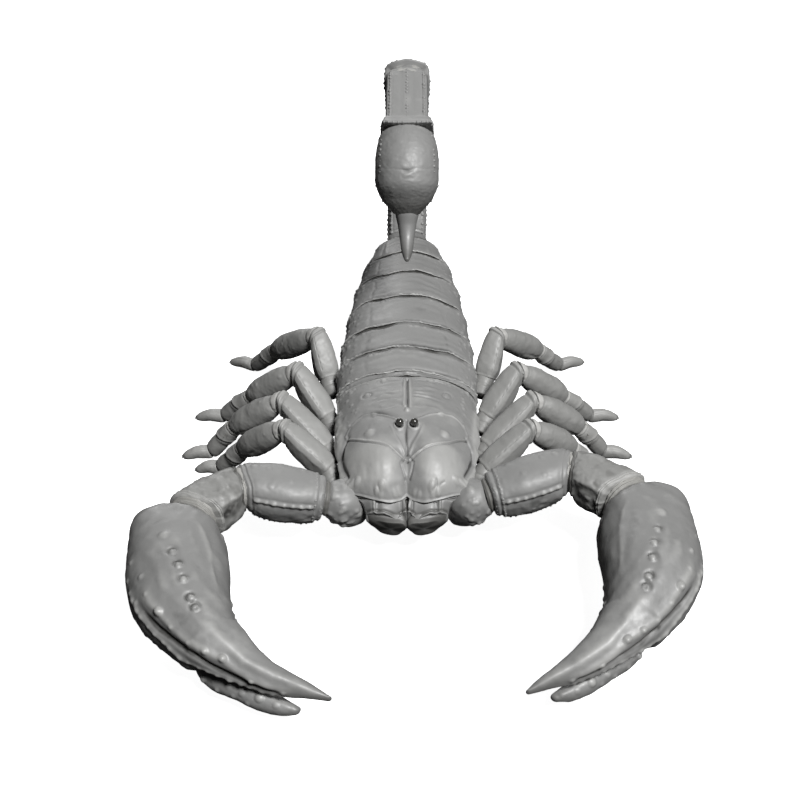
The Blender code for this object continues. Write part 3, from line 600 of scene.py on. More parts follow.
def plan_of(skin):
    """Places on a back or belly plate in plan, mirrored to one side and a little wavy."""
    wavy = np.stack([wobble(skin.base, 2.2, seed, 2) for seed in (40, 41)], -1)
    plan = skin.base[..., :2] + 0.11 * wavy
    return np.stack((abs(plan[..., 0]), plan[..., 1]), -1)


def arch_rings(x, y, z, under_x, under_z, under_step=6):
    """Close rows of top points with a coarser row of underside points."""
    top = np.stack(np.broadcast_arrays(x, y, z), -1)
    under = np.stack(np.broadcast_arrays(under_x, y, under_z), -1)[:, ::-1][:, ::under_step]
    return np.concatenate((top, under), axis=1)


def carapace():
    """The head shield, with its slit, eye mounds, sutures, cheek grooves and raised front rim."""
    a = np.linspace(-np.pi / 2, np.pi / 2, 241)[None, :]
    v = np.linspace(0, 1, 190)[:, None]
    rim = smooth_value(FRONT_RIM, abs(np.sin(a)) * RIM_REACH)
    y = -GAP + (rim + GAP) * v
    x = np.sin(a) * smooth_value(CARAPACE_HALF_WIDTH, y)
    margin = smooth_value(MARGIN_HEIGHT, y)
    z = margin + (smooth_value(CARAPACE_TOP, y) - margin) * np.cos(a)
    z = z - smooth_value(VALLEY_SHARE, y) * bell(x, 1.5)
    z = z - 0.85 * ramp(0.9, 1.0, v) ** 1.5 * np.cos(a) ** 0.5
    under = margin - PLATE_SKIRT + 0.3 * v * np.cos(a)
    under = under + (z - 0.3 - under) * ramp(0.8, 0.97, v) * ramp(0.05, 0.4, np.cos(a))
    skin = Skin(arch_rings(x, y, z, 0.98 * x, under), bulge=-0.9)
    half = plan_of(skin)
    out, back = half[..., 0], half[..., 1]
    base = skin.base
    upper = ramp(0.0, 0.25, skin.normal[..., 2])
    lift = 0.1 * wobble(base, 3.6, 1, 3) + 0.014 * wobble(base, 0.6, 2, 2)
    for line, width, height in CARAPACE_MARKS:
        lift += ridge(base[..., :2], line, width, height)
    for line, moved, width, height in CARAPACE_LINES:
        lift += ridge(half + moved, line, width, height)
    lift += bumps(base[..., :2], SLIT_KNOBS) + bumps(half, CARAPACE_BUMPS)
    beside = ramp(0.4, 1.1, out) * ramp(5.2, 2.0, out) * ramp(-7.3, -5.8, back) * ramp(-0.3, -1.1, back)
    patch = ramp(-0.3, 0.5, wobble(base, 1.9, 5, 2))
    waves = np.sin(2 * np.pi * (back + 0.55 * wobble(base * (0.6, 1, 1), 1.6, 4, 2)) / 0.95)
    lift += (0.02 + 0.07 * patch) * beside * waves
    lift += 0.03 * beside * wobble(base * (0.5, 1.4, 1), 0.5, 6, 2)
    lift += 0.22 * ramp(6.9, 7.7, out) * ramp(-4.0, -6.5, back) * wobble(base * (1, 0.7, 1), 1.3, 9, 2)
    mound = np.linalg.norm(half - np.array(EYE_PLACE[:2]), axis=-1)
    lift += 0.2 * bell(mound, 0.9) + 0.16 * bell(mound - 0.6, 0.12) - 0.42 * bell(mound, 0.42)
    lift -= 0.09 * bell(np.linalg.norm(half - np.array((4.8, -3.2)), axis=-1) - 0.55, 0.15)
    lobe = ramp(-12.6, -14.0, back) * ramp(0.9, 2.2, out) * ramp(6.2, 4.8, out)
    lift += 0.3 * bell(np.linalg.norm((half - np.array((3.6, -14.3))) * (0.9, 1.0), axis=-1), 2.6)
    lift += 0.035 * lobe * wobble(base * (1.0, 0.22, 0.5), 0.75, 8, 2)
    lift += 0.16 * lobe * bell(back + 15.2, 1.8) * bell(out - 3.3, 1.7)
    side_field = ramp(5.4, 6.6, out) * ramp(-10.0, -8.3, back)
    lift += 0.1 * side_field * pebbles(base, 0.7, 21, 0.35)
    rear_field = bell(back + 0.75, 0.28) * (0.3 + 0.7 * ramp(2.5, 4.5, out))
    lift += 0.13 * rear_field * pebbles(base, 0.55, 22, 0.7)
    lift += 0.1 * bell(base[..., 1] + 0.42, 0.14) * ramp(0.2, 1.2, out)
    edge = (1 - skin.t) * 17.0
    lift += 0.06 * bell(edge - 0.05, 0.08) - 0.05 * bell(edge - 0.26, 0.1)
    lift += 0.1 * domes(half, [(0.9, -17.2), (1.35, -17.45), (3.0, -17.6)], 0.4, 1.0)
    side_edge = np.arccos(np.clip(out / smooth_value(CARAPACE_HALF_WIDTH, back), 0, 1)) * 5
    lift += 0.14 * bell(side_edge - 0.5, 0.4) * ramp(-16.5, -15.0, back)
    skin.lift = lift * upper
    return skin


def eye_beads(side):
    """The main eye of one side and the three small ones at the front corner of the shield."""
    x, y, z = EYE_PLACE
    eyes = [((x, y, z - 0.02), EYE_RADIUS)]
    for y in (-15.6, -15.0, -14.4):
        margin = smooth_value(MARGIN_HEIGHT, y)
        height = margin + 0.24 * (smooth_value(CARAPACE_TOP, y) - margin)
        eyes.append(((0.97 * smooth_value(CARAPACE_HALF_WIDTH, y), y, height), 0.17))
    skins = []
    for centre, radius in eyes:
        angle = np.linspace(-0.47, 0.47, 15) * np.pi
        centres = np.array(centre) + UP * (radius * np.sin(angle))[:, None]
        wide = radius * np.cos(angle)
        rings = sweep(centres, ACROSS, BACK, wide, wide, 2, 28)
        skins.append(Skin(mirrored(rings, side)))
    return skins


def join_wave(edge, x):
    """How far a join between two back plates wanders to the front or rear at a place across it."""
    if edge in (0, len(TERGITE_EDGES) - 1):
        return 0.0 * x
    places = np.stack((x, np.full_like(x, 7.3 * edge), 0.0 * x), -1)
    return 0.2 * wobble(places, 2.6, 33, 2) * ramp(9.0, 6.0, abs(x)) - 0.16 * bell(abs(x) - 3.1, 1.2)


def tergite(number):
    """One back plate: a raised front lip, soft waves across it, granules at its rear and sides."""
    front, rear = TERGITE_EDGES[number - 1] + GAP / 2, TERGITE_EDGES[number] - GAP / 2
    length = rear - front
    rows = max(8, int(length / 0.1))
    a = np.linspace(-np.pi / 2, np.pi / 2, 221)[None, :]
    t = np.linspace(0, 1, rows)[:, None]
    place = front + length * t
    lip = 0.16 * ramp(0.55, 1.0, t) + 0.08 * ramp(0.9, 1.0, t)
    width = smooth_value(TRUNK_HALF_WIDTH, place) + lip - 0.55 * ramp(30.5, 36.0, place)
    margin = smooth_value(MARGIN_HEIGHT, place)
    z = margin + (smooth_value(TRUNK_TOP, place) - margin - PLATE_SINK + lip) * np.cos(a)
    x = width * np.sin(a)
    y = place + (1 - t) * join_wave(number - 1, x) + t * join_wave(number, x)
    skin = Skin(arch_rings(x, y, z, 0.98 * x, margin - PLATE_SKIRT + 0 * a), bulge=-0.3)
    base = skin.base
    out = abs(base[..., 0])
    share = out / smooth_value(TRUNK_HALF_WIDTH, base[..., 1])
    upper = ramp(0.0, 0.25, skin.normal[..., 2] + 0.1)
    to_front = length * skin.t + 0.06 * wobble(base, 0.9, 34 + number, 2)
    to_rear = length - to_front
    middle = ramp(0.9, 1.6, to_rear) * ramp(0.6, 1.3, to_front)
    lift = 0.055 * wobble(base * (0.5, 0.9, 0.6), 2.6, 50 + number, 3) + 0.012 * wobble(base, 0.45, 3, 2)
    bow = to_rear + 0.9 * wobble(base * (0.4, 0.8, 0.5), 2.4, 36 + number, 2) - 1.1 * share**2
    faint = ramp(-0.4, 0.6, wobble(base, 3.0, 77 + number, 2))
    lift += (0.008 + 0.035 * faint) * middle * np.sin(2 * np.pi * bow / 1.7) * ramp(0.9, 0.5, share)
    if number > 1:
        crisp = 0.6 + 0.4 * wobble(base * (0.5, 1, 1), 1.2, 38 + number, 2)
        lift += 0.24 * bell(to_front - 0.14, 0.18) * np.clip(crisp, 0.45, 1.0)
        lift -= 0.12 * bell(to_front - 0.62, 0.28)
        lift += 0.13 * bell(to_front - 0.16, 0.2) * pebbles(base, 0.5, 64 + number, 0.8)
    valley = (0.12 if number == 1 else 1.0) * bell(to_rear - 0.14, 0.31) * ramp(1.0, 0.75, share)
    valley = valley * (0.6 + 0.4 * bell(out - 3.4, 2.0))
    valley = valley * (0.75 + 0.4 * wobble(base * (0.6, 1, 1), 1.7, 40 + number, 2))
    granular = (0.3 + 0.7 * pebbles(base, 0.6, 60 + number, 0.75)) * (0.8 + 0.4 * wobble(base, 2.2, 42, 2))
    lift += 0.17 * bell(to_rear - 0.66, 0.24) * granular - 0.3 * valley
    flank = ramp(0.66, 0.9, share)
    lift += 0.12 * flank * pebbles(base, 0.7, 70 + number, 0.4)
    edges = bell(to_rear - 0.4, 0.3) + bell(to_front - 0.3, 0.25)
    lift += 0.1 * flank * edges * pebbles(base, 0.6, 75, 0.8)
    lift -= 0.035 * bell(share - 0.6 - 0.03 * wobble(base, 1.5, 76, 2), 0.03) * middle
    if number == 1:
        lift += 0.16 * bell(out, 0.75) ** 4
    if number == 7:
        lift += 0.06 * bell(out - 2.9, 0.22) * middle
    skin.lift = lift * upper
    # painted shade: the groove along each plate's rear edge is darkened, on upward faces only
    skin.tint_and_shade = -0.7 * valley * upper
    return skin


def belly_rings(front, rear, inset, rows):
    """Rings of the underside from the flanks down; the flat top is hidden inside."""
    y = np.linspace(front, rear, rows)[:, None]
    shrink = smooth_value(inset, y) if isinstance(inset, dict) else inset
    a = np.linspace(0.0, np.pi, 150)[None, :]
    x, z = rounded(a, BELLY_POWER)
    top = smooth_value(MARGIN_HEIGHT, y) - PLATE_SKIRT - GAP
    bottom = smooth_value(BELLY_HEIGHT, y)
    x = (smooth_value(TRUNK_HALF_WIDTH, y) - shrink) * x
    return arch_rings(x, y, top - (top - bottom) * z, x, top + 0 * x, 12)


def sternite(number):
    """One belly plate; all but the last have a pair of breathing slits."""
    front, rear = STERNITE_EDGES[number] + GAP / 2, STERNITE_EDGES[number + 1] - GAP / 2
    skin = Skin(belly_rings(front, rear, BELLY_INSET, int((rear - front) / 0.16)), bulge=-0.2)
    half = plan_of(skin)
    out, back = half[..., 0], half[..., 1]
    lift = 0.05 * wobble(skin.base, 2.4, 80 + number, 2) + 0.012 * wobble(skin.base, 0.5, 81, 2)
    to_rear = rear - back
    lift += 0.1 * bell(to_rear - 0.25, 0.2) - 0.1 * bell(to_rear - 0.7, 0.25)
    lift += 0.05 * np.sin(2 * np.pi * to_rear / 1.7) * ramp(1.0, 1.6, to_rear)
    if number < 4:
        middle = (front + rear) / 2 + 0.2
        slit = ((3.7, middle + 0.25), (4.5, middle), (5.1, middle - 0.35))
        lift += ridge(half, slit, 0.24, -0.4) + ridge(half, slit, 0.5, 0.16)
        # painted shade: the sunk slits are darkened as if shaded inside
        skin.tint_and_shade -= 0.9 * ridge(half, slit, 0.22, 1.0)
        lift -= 0.1 * bell(out - 2.6, 0.2) * ramp(0.8, 1.4, to_rear)
    else:
        for keel in (1.5, 3.3):
            lift += 0.14 * bell(out - keel, 0.24) * (0.4 + 0.6 * pebbles(skin.base, 0.5, 83, 1.0))
    skin.lift = lift * ramp(0.0, -0.25, skin.normal[..., 2] - 0.15)
    skin.tint_and_shade += 0.35 * bell(to_rear, 0.35)
    return skin


def leg_bases():
    """The underside of the head: leg bases meeting at the breastplate, and the genital cover."""
    inset = {-13.4: 2.4, -12.2: 1.9, -11.0: 1.7, 3.0: 1.6, 6.3: 1.1}
    skin = Skin(belly_rings(-13.4, STERNITE_EDGES[0] - GAP / 2, inset, 150), bulge=0.15)
    half = plan_of(skin)
    lift = 0.05 * wobble(skin.base, 1.8, 90, 3)
    joins = (((0.0, -13.4), (0.0, -5.4)), ((0.9, -7.2), (4.0, -8.6), (7.0, -10.0)),
             ((1.5, -4.9), (4.2, -5.2), (7.2, -5.6)), ((1.7, -2.4), (4.6, -1.2), (7.2, 0.8)),
             ((1.6, -1.0), (3.8, 2.2), (5.8, 5.2)))
    for join in joins:
        lift += ridge(half, join, 0.2, -0.5) + ridge(half + (0, 0.45), join, 0.25, 0.12)
    breastplate = ((0.0, -5.2), (0.9, -4.6), (1.15, -2.2), (0.75, -1.2), (0.0, -1.0))
    cover = ((0.0, -0.9), (1.1, -0.6), (1.5, 0.5), (1.1, 1.6), (0.0, 1.8))
    for outline in (breastplate, cover):
        lift += ridge(half, outline, 0.14, -0.34)
    lift += ridge(half, ((0.0, -4.4), (0.0, 1.4)), 0.16, -0.2)
    lift += 0.1 * pebbles(skin.base, 0.6, 91, 0.25) * ramp(1.5, 3.5, half[..., 0])
    skin.lift = lift * ramp(0.2, -0.2, skin.normal[..., 2])
    grooves = np.min([distance_to(half, join) for join in joins], axis=0)
    skin.tint_and_shade = 0.6 * bell(grooves, 0.3)
    return skin


def mouth():
    """The upper lip that fills the gap between the two jaws, painted dark as the shade in that gap."""
    path = [(0.0, y, z) for y, z in MOUTH_PATH]
    skin = Skin(path_tube(path, MOUTH_HALF_WIDTH, MOUTH_HALF_DEPTH, 3.0, 24, 40, side=ACROSS), bulge=0.1)
    # painted shade: the lip takes the dark colour of the shadowed gap
    skin.tint_and_shade -= 1.0
    return skin


def flank_membrane():
    """The soft pleated skin that joins the back plates to the belly plates."""
    y = np.linspace(-4.0, 36.2, 300)
    centres = np.stack((0 * y, y, smooth_value(MARGIN_HEIGHT, y) - 1.15), -1)
    width = smooth_value(TRUNK_HALF_WIDTH, y) - 0.22
    rings = sweep(centres, ACROSS, UP, width, 0.95, 3.4, 96)
    skin = Skin(rings, bulge=-0.1)
    height = skin.base[..., 2] - smooth_value(MARGIN_HEIGHT, skin.base[..., 1])
    pleats = np.sin(2 * np.pi * (height + 0.18 * wobble(skin.base * (1, 0.3, 1), 0.9, 95, 2)) / 0.42)
    skin.lift = 0.06 * pleats + 0.05 * wobble(skin.base, 0.7, 96, 3)
    skin.lift -= 0.16 * sum(bell(skin.base[..., 1] - edge, 0.35) for edge in TERGITE_EDGES[1:-1])
    skin.tint_and_shade += 1.0
    return skin


def body_core():
    """The soft body under the plates, which shows only in the joints between them."""
    y = np.linspace(-0.6, 36.1, 160)[:, None]
    c, s = (share[None, :] for share in rounded(turns(90), 2.0))
    margin = smooth_value(MARGIN_HEIGHT, y)
    over = smooth_value(TRUNK_TOP, y) - margin - 0.55
    under = margin - smooth_value(BELLY_HEIGHT, y) - 0.6
    width = smooth_value(TRUNK_HALF_WIDTH, y) - 0.55 - 0.5 * ramp(30.5, 36.0, y) - 1.35 * ramp(0.0, 0.4, -s)
    rings = np.stack(np.broadcast_arrays(width * c, y, margin + s * np.where(s > 0, over, under)), -1)
    skin = Skin(rings, bulge=0.0)
    skin.tint_and_shade -= 0.5
    return skin


def comb_bar(side):
    """The bar of one comb; its teeth are added along its rear edge."""
    path = np.linspace((1.1, 2.6, 3.55), (6.6, 6.4, 3.55), 4)
    skin = Skin(mirrored(path_tube(path, (0.5, 0.72, 0.7, 0.36), (0.3,) * 4, 3, 60, 40), side), bulge=0.15)
    place = skin.t * 8.2
    skin.lift = -0.12 * bell((place + 0.4) % 1.15 - 0.575, 0.09) + 0.02 * wobble(skin.base, 0.5, 97, 2)
    skin.tint_and_shade += 0.5
    return skin


def square_tube(start, end, stations, power, rings, count):
    """A tube along a straight line with its rings square to Y."""
    t = np.linspace(0, 1, rings)
    centres = np.array(start) + (np.array(end) - start) * t[:, None]
    width = smooth_value({s: w for s, w, d in stations}, t)
    depth = smooth_value({s: d for s, w, d in stations}, t)
    return sweep(centres, -ACROSS, UP, width, depth, power, count)


def table_at(table, place):
    """Straight lines between the (place, value) pairs of a table."""
    return np.interp(place, [row[0] for row in table], [row[1] for row in table])


def chelicera(side):
    """One jaw's palm: sloping flat panels under the shield, a rib, and an angular front edge."""
    stations = ((0, 1.94, 1.5), (0.5, 2.25, 1.7), (0.85, 2.3, 1.9), (1, 2.2, 1.85))
    rings = square_tube(CHELICERA_ROOT, CHELICERA_KNUCKLE, stations, 4.0, 70, 180)
    t = np.linspace(0, 1, 70)[:, None]
    high, low = ramp(6.6, 7.8, rings[..., 2]), ramp(7.0, 5.4, rings[..., 2])
    x = rings[..., 0] + 1.5 * high * ramp(2.8, 4.6, rings[..., 0]) * ramp(0.95, 0.35, t)
    x = x - 0.35 * low * ramp(1.2, 0.8, rings[..., 0])
    x = x - 0.9 * low * ramp(3.0, 4.4, rings[..., 0]) * ramp(0.4, 1.0, t)
    top = ramp(0.3, 1.2, rings[..., 2] - 6.4)
    target = 9.25 - 0.5 * ramp(3.9, 5.6, x) + (table_at(PANEL_HEIGHT, x) - 9.25) * ramp(0.62, 1.0, t) ** 1.2
    rings[..., 2] += top * (target - rings[..., 2])
    rings[..., 0] = x
    edge = table_at(PANEL_EDGE, x) + 18.8
    rings[..., 1] += (edge * (0.35 + 0.65 * top) + 1.1 * low) * ramp(0.55, 1.0, t)
    skin = Skin(mirrored(rings, side), 0.0)
    base = skin.base * (SIDES[side], 1, 1)
    plan = base[..., :2]
    upper = ramp(0.0, 0.3, skin.normal[..., 2])
    lift = 0.02 * wobble(base, 1.4, 100, 3)
    lift += ridge(plan, ((3.75, -15.5), (3.7, -19.0)), 0.14, 0.2) * upper
    lift -= ridge(plan, ((3.35, -15.5), (3.3, -19.0)), 0.3, 0.1) * upper
    lift -= ridge(plan, ((0.75, -16.0), (0.6, -19.2)), 0.12, 0.12) * upper
    rim = (1 - skin.t) * 3.8
    lift += 0.13 * bell(rim - 0.1, 0.12) - 0.12 * bell(rim - 0.36, 0.1)
    skin.lift = lift
    # a little darker all over, with painted shade in the groove behind the front edge
    skin.tint_and_shade -= 0.2 + 0.6 * bell(rim - 0.36, 0.1)
    return skin


def chelicera_fingers(side):
    """The jaw's blunt toothed pincer: a fixed upper finger over a movable lower one."""
    knuckle = np.array(CHELICERA_KNUCKLE) + BACK * 0.2 + UP * 0.15
    stations = ((0, 2.05, 1.5), (0.3, 2.05, 1.6), (0.65, 2.0, 1.6), (1, 1.8, 1.4))
    rings = square_tube(knuckle, CHELICERA_TIP, stations, 4.6, 46, 120)
    narrow = 0.72 + 0.32 * ramp(4.5, 6.4, rings[..., 2])
    rings[..., 0] = 2.25 + (rings[..., 0] - 2.25) * narrow
    rings[..., 1] += 0.7 * ramp(1.5, 4.4, rings[..., 0]) * np.linspace(0, 1, 46)[:, None]
    rings[..., 1] += 0.9 * ramp(7.2, 4.7, rings[..., 2])
    skin = Skin(mirrored(rings, side), bulge=0.12)
    base = skin.base * (SIDES[side], 1, 1)
    split = ((0.6, -19.0, 6.0), (0.9, -19.5, 5.8), (1.4, -19.9, 5.6), (2.3, -19.9, 5.5), (3.2, -19.4, 5.5),
             (3.9, -18.9, 5.4))
    skin.lift = 0.03 * wobble(base, 1.3, 103, 3) + ridge(base, split, 0.12, -0.25)
    skin.lift += domes(base, [(2.9, -19.3, 6.9), (1.2, -19.3, 6.9)], 0.28, 0.1)
    # painted shade: the pincer is darkened as its forward and down-facing faces would be shaded
    skin.tint_and_shade -= 0.75
    return skin


def tail_planes():
    joints = [np.array((0.0, y, z)) for y, z in TAIL_JOINTS]
    axes = [unit(b - a) for a, b in zip(joints[:-1], joints[1:])]
    return joints, axes, [BACK] + [unit(a + b) for a, b in zip(axes[:-1], axes[1:])] + [axes[-1]]


def tail_segment(number):
    """One tail ring: flat faces between raised keels, with a flared rim at its far end."""
    k = number - 1
    joints, axes, planes = tail_planes()
    width, depth = TAIL_HALF_WIDTH[k], TAIL_HALF_DEPTH[k]
    profile = {0.0: 0.86, 0.05: 0.93, 0.12: 0.97, 0.5: 0.98, 0.78: 0.985}
    profile.update({0.86: 1.0, 0.93: TAIL_FLARE[k] * 0.99, 1.0: TAIL_FLARE[k]})
    profile = {place: share * width for place, share in profile.items()}
    length = np.linalg.norm(joints[k + 1] - joints[k])
    end, last_plane = joints[k + 1], planes[k + 1]
    if k == 4:
        end, last_plane = end - axes[4] * 0.95, unit(axes[4] - 0.45 * UP)
    rings = mitred(joints[k], end, planes[k], last_plane, profile, TAIL_POWER, int(length / RING_STEP), 190,
                   depth / width)
    t = np.linspace(0, 1, len(rings))[:, None]
    if k > 2:
        outer_side = ramp(0.1, 0.5, -np.sin(turns(190)))[None, :]
        joint = ramp(0.25, 0.02, t) if k == 4 else ramp(0.8, 0.98, t)
        across = abs(rings[..., 0]) / abs(rings[..., 0]).max(1)[:, None]
        squarer = (1 - across**8) ** (1 / 8) - (1 - across**TAIL_POWER) ** (1 / TAIL_POWER)
        rings = rings - np.cross(ACROSS, axes[k]) * (depth * squarer * outer_side)[..., None]
        rings = rings - ROOF_WAY * (0.62 * joint * outer_side * across)[..., None]
    if k == 0:
        squeeze = 1 - (1 - TAIL_ROOT_HEIGHT) * (1 - np.linspace(0, 1, len(rings)))[:, None] ** 3
        middle = rings[..., 2].mean(1)[:, None]
        rings[..., 2] = middle + (rings[..., 2] - middle) * squeeze
    skin = Skin(rings, bulge=0.15)
    along = skin.t
    body = ramp(0.08, 0.16, along) * ramp(0.88, 0.82, along)
    skin.lift = 0.04 * wobble(skin.base, 1.6, 110 + k, 3) + 0.01 * wobble(skin.base, 0.4, 111, 2)
    keels = LAST_KEELS if k == 4 else KEELS
    for keel in keels:
        gap = around(skin, keel)
        tall = 0.04 if keel == 270 else 0.09
        skin.lift += tall * bell(gap, 3.5) * body - 0.02 * bell(gap - 8, 3.5) * body
    skin.lift += 0.08 * bell((along - 1) * length + 0.3, 0.2) - 0.08 * bell((along - 1) * length + 0.75, 0.2)
    skin.lift += 0.07 * bell(along * length - 0.9, 0.16) - 0.07 * bell(along * length - 1.2, 0.14)
    skin.lift += 0.05 * ramp(0.3, 0.1, along) * pebbles(skin.base, 0.55, 118 + k, 0.3)
    if k == 0:
        knuckles = skin.at(np.array((0.1, 0.1, 0.22, 0.22)), np.array((215.0, 325.0, 205.0, 335.0)))
        skin.lift += domes(skin.base, knuckles, (0.9, 0.9, 0.7, 0.7), (0.5, 0.5, 0.3, 0.3))
    return skin, keels


def vesicle():
    """The poison bulb: finely pebbled, with a crease across its middle and rows of side granules."""
    path = [(0.0, y, z) for y, z in VESICLE_PATH]
    rings = path_tube(path, VESICLE_HALF_WIDTH, VESICLE_HALF_DEPTH, 2.0, 130, 150, side=ACROSS)
    skin = Skin(rings, bulge=0.35)
    base = skin.base
    skin.lift = 0.03 * wobble(base, 1.0, 120, 3) + 0.035 * pebbles(base, 0.5, 121, 0.7)
    place = skin.t * (len(VESICLE_PATH) - 1)
    outer = bell(around(skin, 270), 75)
    crease = 2.55 + 0.05 * wobble(base, 1.0, 122, 2)
    near_middle = bell(base[..., 0], 0.62)
    skin.lift += (-0.17 * bell(place - crease, 0.07) + 0.1 * bell(place - crease - 0.2, 0.1)) * near_middle
    skin.lift -= 0.045 * bell(place - crease + 0.1 * abs(base[..., 0]) / 4, 0.035) * outer
    rings_below = ramp(crease + 0.15, crease + 0.5, place) * ramp(4.4, 3.9, place)
    bowl = place - 0.04 * base[..., 0] ** 2 + 0.2 * wobble(base, 1.3, 123, 2)
    skin.lift += 0.008 * np.sin(2 * np.pi * bowl / 0.24) * rings_below * outer
    skin.lift += 0.09 * pebbles(base, 0.6, 124, 0.35) * ramp(3.0, 3.8, place) * (1 - outer * 0.7)
    skin.lift += 0.07 * bell(place - 0.42, 0.15) - 0.08 * bell(place - 0.2, 0.08)
    # painted shade: the bulb's lower end, which faces down towards the sting, is darkened
    skin.tint_and_shade -= 0.7 * ramp(3.2, 4.6, place)
    return skin


def sting():
    """The smooth thick point, with a venom pore near its tip."""
    path = [(0.0, y, z) for y, z in STING_PATH]
    rings = path_tube(path, STING_RADIUS, STING_RADIUS, 2.0, 90, 64, side=ACROSS)
    skin = Skin(rings, bulge=0.2)
    skin.lift = 0.02 * wobble(skin.base * (1, 0.4, 0.4), 0.9, 130, 2)
    skin.lift -= 0.06 * bell(skin.t - 0.9, 0.03) * bell((np.degrees(skin.turn) - 90), 20)
    skin.tint_and_shade -= 0.6 * ramp(0.5, 0.98, skin.t)
    return skin


def sleeve(middle, before, after, radius, length, pleats, flatten=1.0, power=2.3):
    """A pleated sleeve of pale membrane bridging two hard segments."""
    path = (middle - before * length / 2, middle, middle + after * length / 2)
    radii = np.array((0.97, 1.0, 0.97)) * radius
    skin = Skin(path_tube(path, radii, radii * flatten, power, 14 + 8 * pleats, 90), bulge=0.0)
    skin.lift = -0.07 * (1 + np.cos(2 * np.pi * pleats * (skin.t + 0.02 * wobble(skin.base, 1.2, 140, 2))))
    skin.lift = skin.lift + 0.05 * wobble(skin.base, 0.5, 141, 2)
    skin.tint_and_shade += 0.2
    return skin


def leg_femur(number, side):
    """Upper leg: a smooth light facet bounded by a fine beaded line, and collars at both ends."""
    root, start, knee, shin_end = (np.array(p, float) for p in LEG_JOINTS[number][:4])
    axis, shin = unit(knee - start), unit(shin_end - knee)
    plane = unit(axis + shin)
    profile = {0: 1.12, 0.06: 1.3, 0.25: 1.5, 0.65: 1.42, 0.9: 1.16, 1: 1.05}
    rings = mitred(start, knee, axis, plane, profile, 3.3, 80, 108)
    radii = (1.2, 1.3, 1.18)
    root_rings = path_tube((root, (root + start) / 2, start + 0.25 * axis), radii, radii, 2.2, 26, 72)
    skin = Skin(mirrored(rings, side), bulge=0.25)
    angle = np.degrees(skin.turn)
    body = ramp(0.05, 0.12, skin.t) * ramp(0.92, 0.84, skin.t)
    skin.lift = 0.045 * wobble(skin.base, 1.3, 150 + number, 3) + 0.012 * wobble(skin.base, 0.35, 151, 2)
    granular = 0.7 + 0.3 * pebbles(skin.base, 0.34, 152, 1.0)
    for keel in (20, 150, 215, 325):
        skin.lift += 0.05 * bell(around(skin, keel), 8) * body * granular
    length = np.linalg.norm(knee - start)
    dashes = ramp(-0.3, 0.3, np.sin(2 * np.pi * length * skin.t / 0.85 + 2 * wobble(skin.base, 1.5, 154, 2)))
    gap = abs(angle - 62)
    skin.lift -= 0.05 * bell(gap, 2.6) * dashes * body
    skin.lift += 0.02 * bell(angle - 54, 4.5) * body
    skin.lift += 0.1 * bell(skin.t - 0.95, 0.02) - 0.1 * bell(skin.t - 0.9, 0.018)
    skin.lift += 0.08 * bell(skin.t - 0.03, 0.02)
    # pale collars at both ends; painted shade: the short dashed grooves beside the facet are darkened
    skin.tint_and_shade = 0.3 * (bell(skin.t - 0.99, 0.03) + bell(skin.t, 0.03)) - 0.2 * bell(gap, 2.6) * dashes * body
    base = Skin(mirrored(root_rings, side), bulge=0.2)
    base.lift = 0.04 * wobble(base.base, 0.9, 153, 3) - 0.1 * bell(base.t - 0.55, 0.07)
    base.tint_and_shade += 0.2 * bell(base.t - 0.55, 0.1) - 0.25
    turn = sleeve(np.array(mirrored(knee, side)), mirrored(axis, side), mirrored(shin, side), 0.93, 0.7, 2)
    return [skin, base, turn]


def shin_rings(joints, plane):
    """Patella, tibia and foot as one curved tube from the knee."""
    points = np.array([joints[0] + unit(joints[1] - joints[0]) * GAP, *joints[1:]])
    lengths = np.linalg.norm(np.diff(points, axis=0), axis=1)
    counts = [int(length / RING_STEP) for length in lengths]
    place = np.concatenate([k + np.arange(n) / n for k, n in enumerate(counts)] + [[4.0]])
    i = np.minimum(place.astype(int), 3)
    centres = points[i] + (points[i + 1] - points[i]) * (place - i)[:, None]
    softened = centres.copy()
    for _ in range(14):
        softened[1:-1] = (softened[:-2] + 2 * softened[1:-1] + softened[2:]) / 4
    softened[:, 2] += 0.3 * np.sin(np.pi * np.clip(place - 3.0, 0, 1)) ** 2
    tangents = unit(np.gradient(softened, axis=0))
    for _ in range(20):
        tangents[1:-1] = unit(tangents[:-2] + tangents[1:-1] + tangents[2:])
    side = unit(np.cross(tangents, UP))
    radius = smooth_value(SHIN_RADIUS, place)
    rings = sweep(softened, side, np.cross(side, tangents), radius * SHIN_WIDTH_SHARE, radius, 2.2, 72)
    near = 1 - ramp(0.0, 0.12, place)
    lean = ((rings - softened[:, None]) @ plane) / (tangents @ plane)[:, None] * near[:, None]
    rings = rings - tangents[:, None] * lean[..., None]
    rings[..., 2] = np.maximum(rings[..., 2], GROUND)
    return rings, place


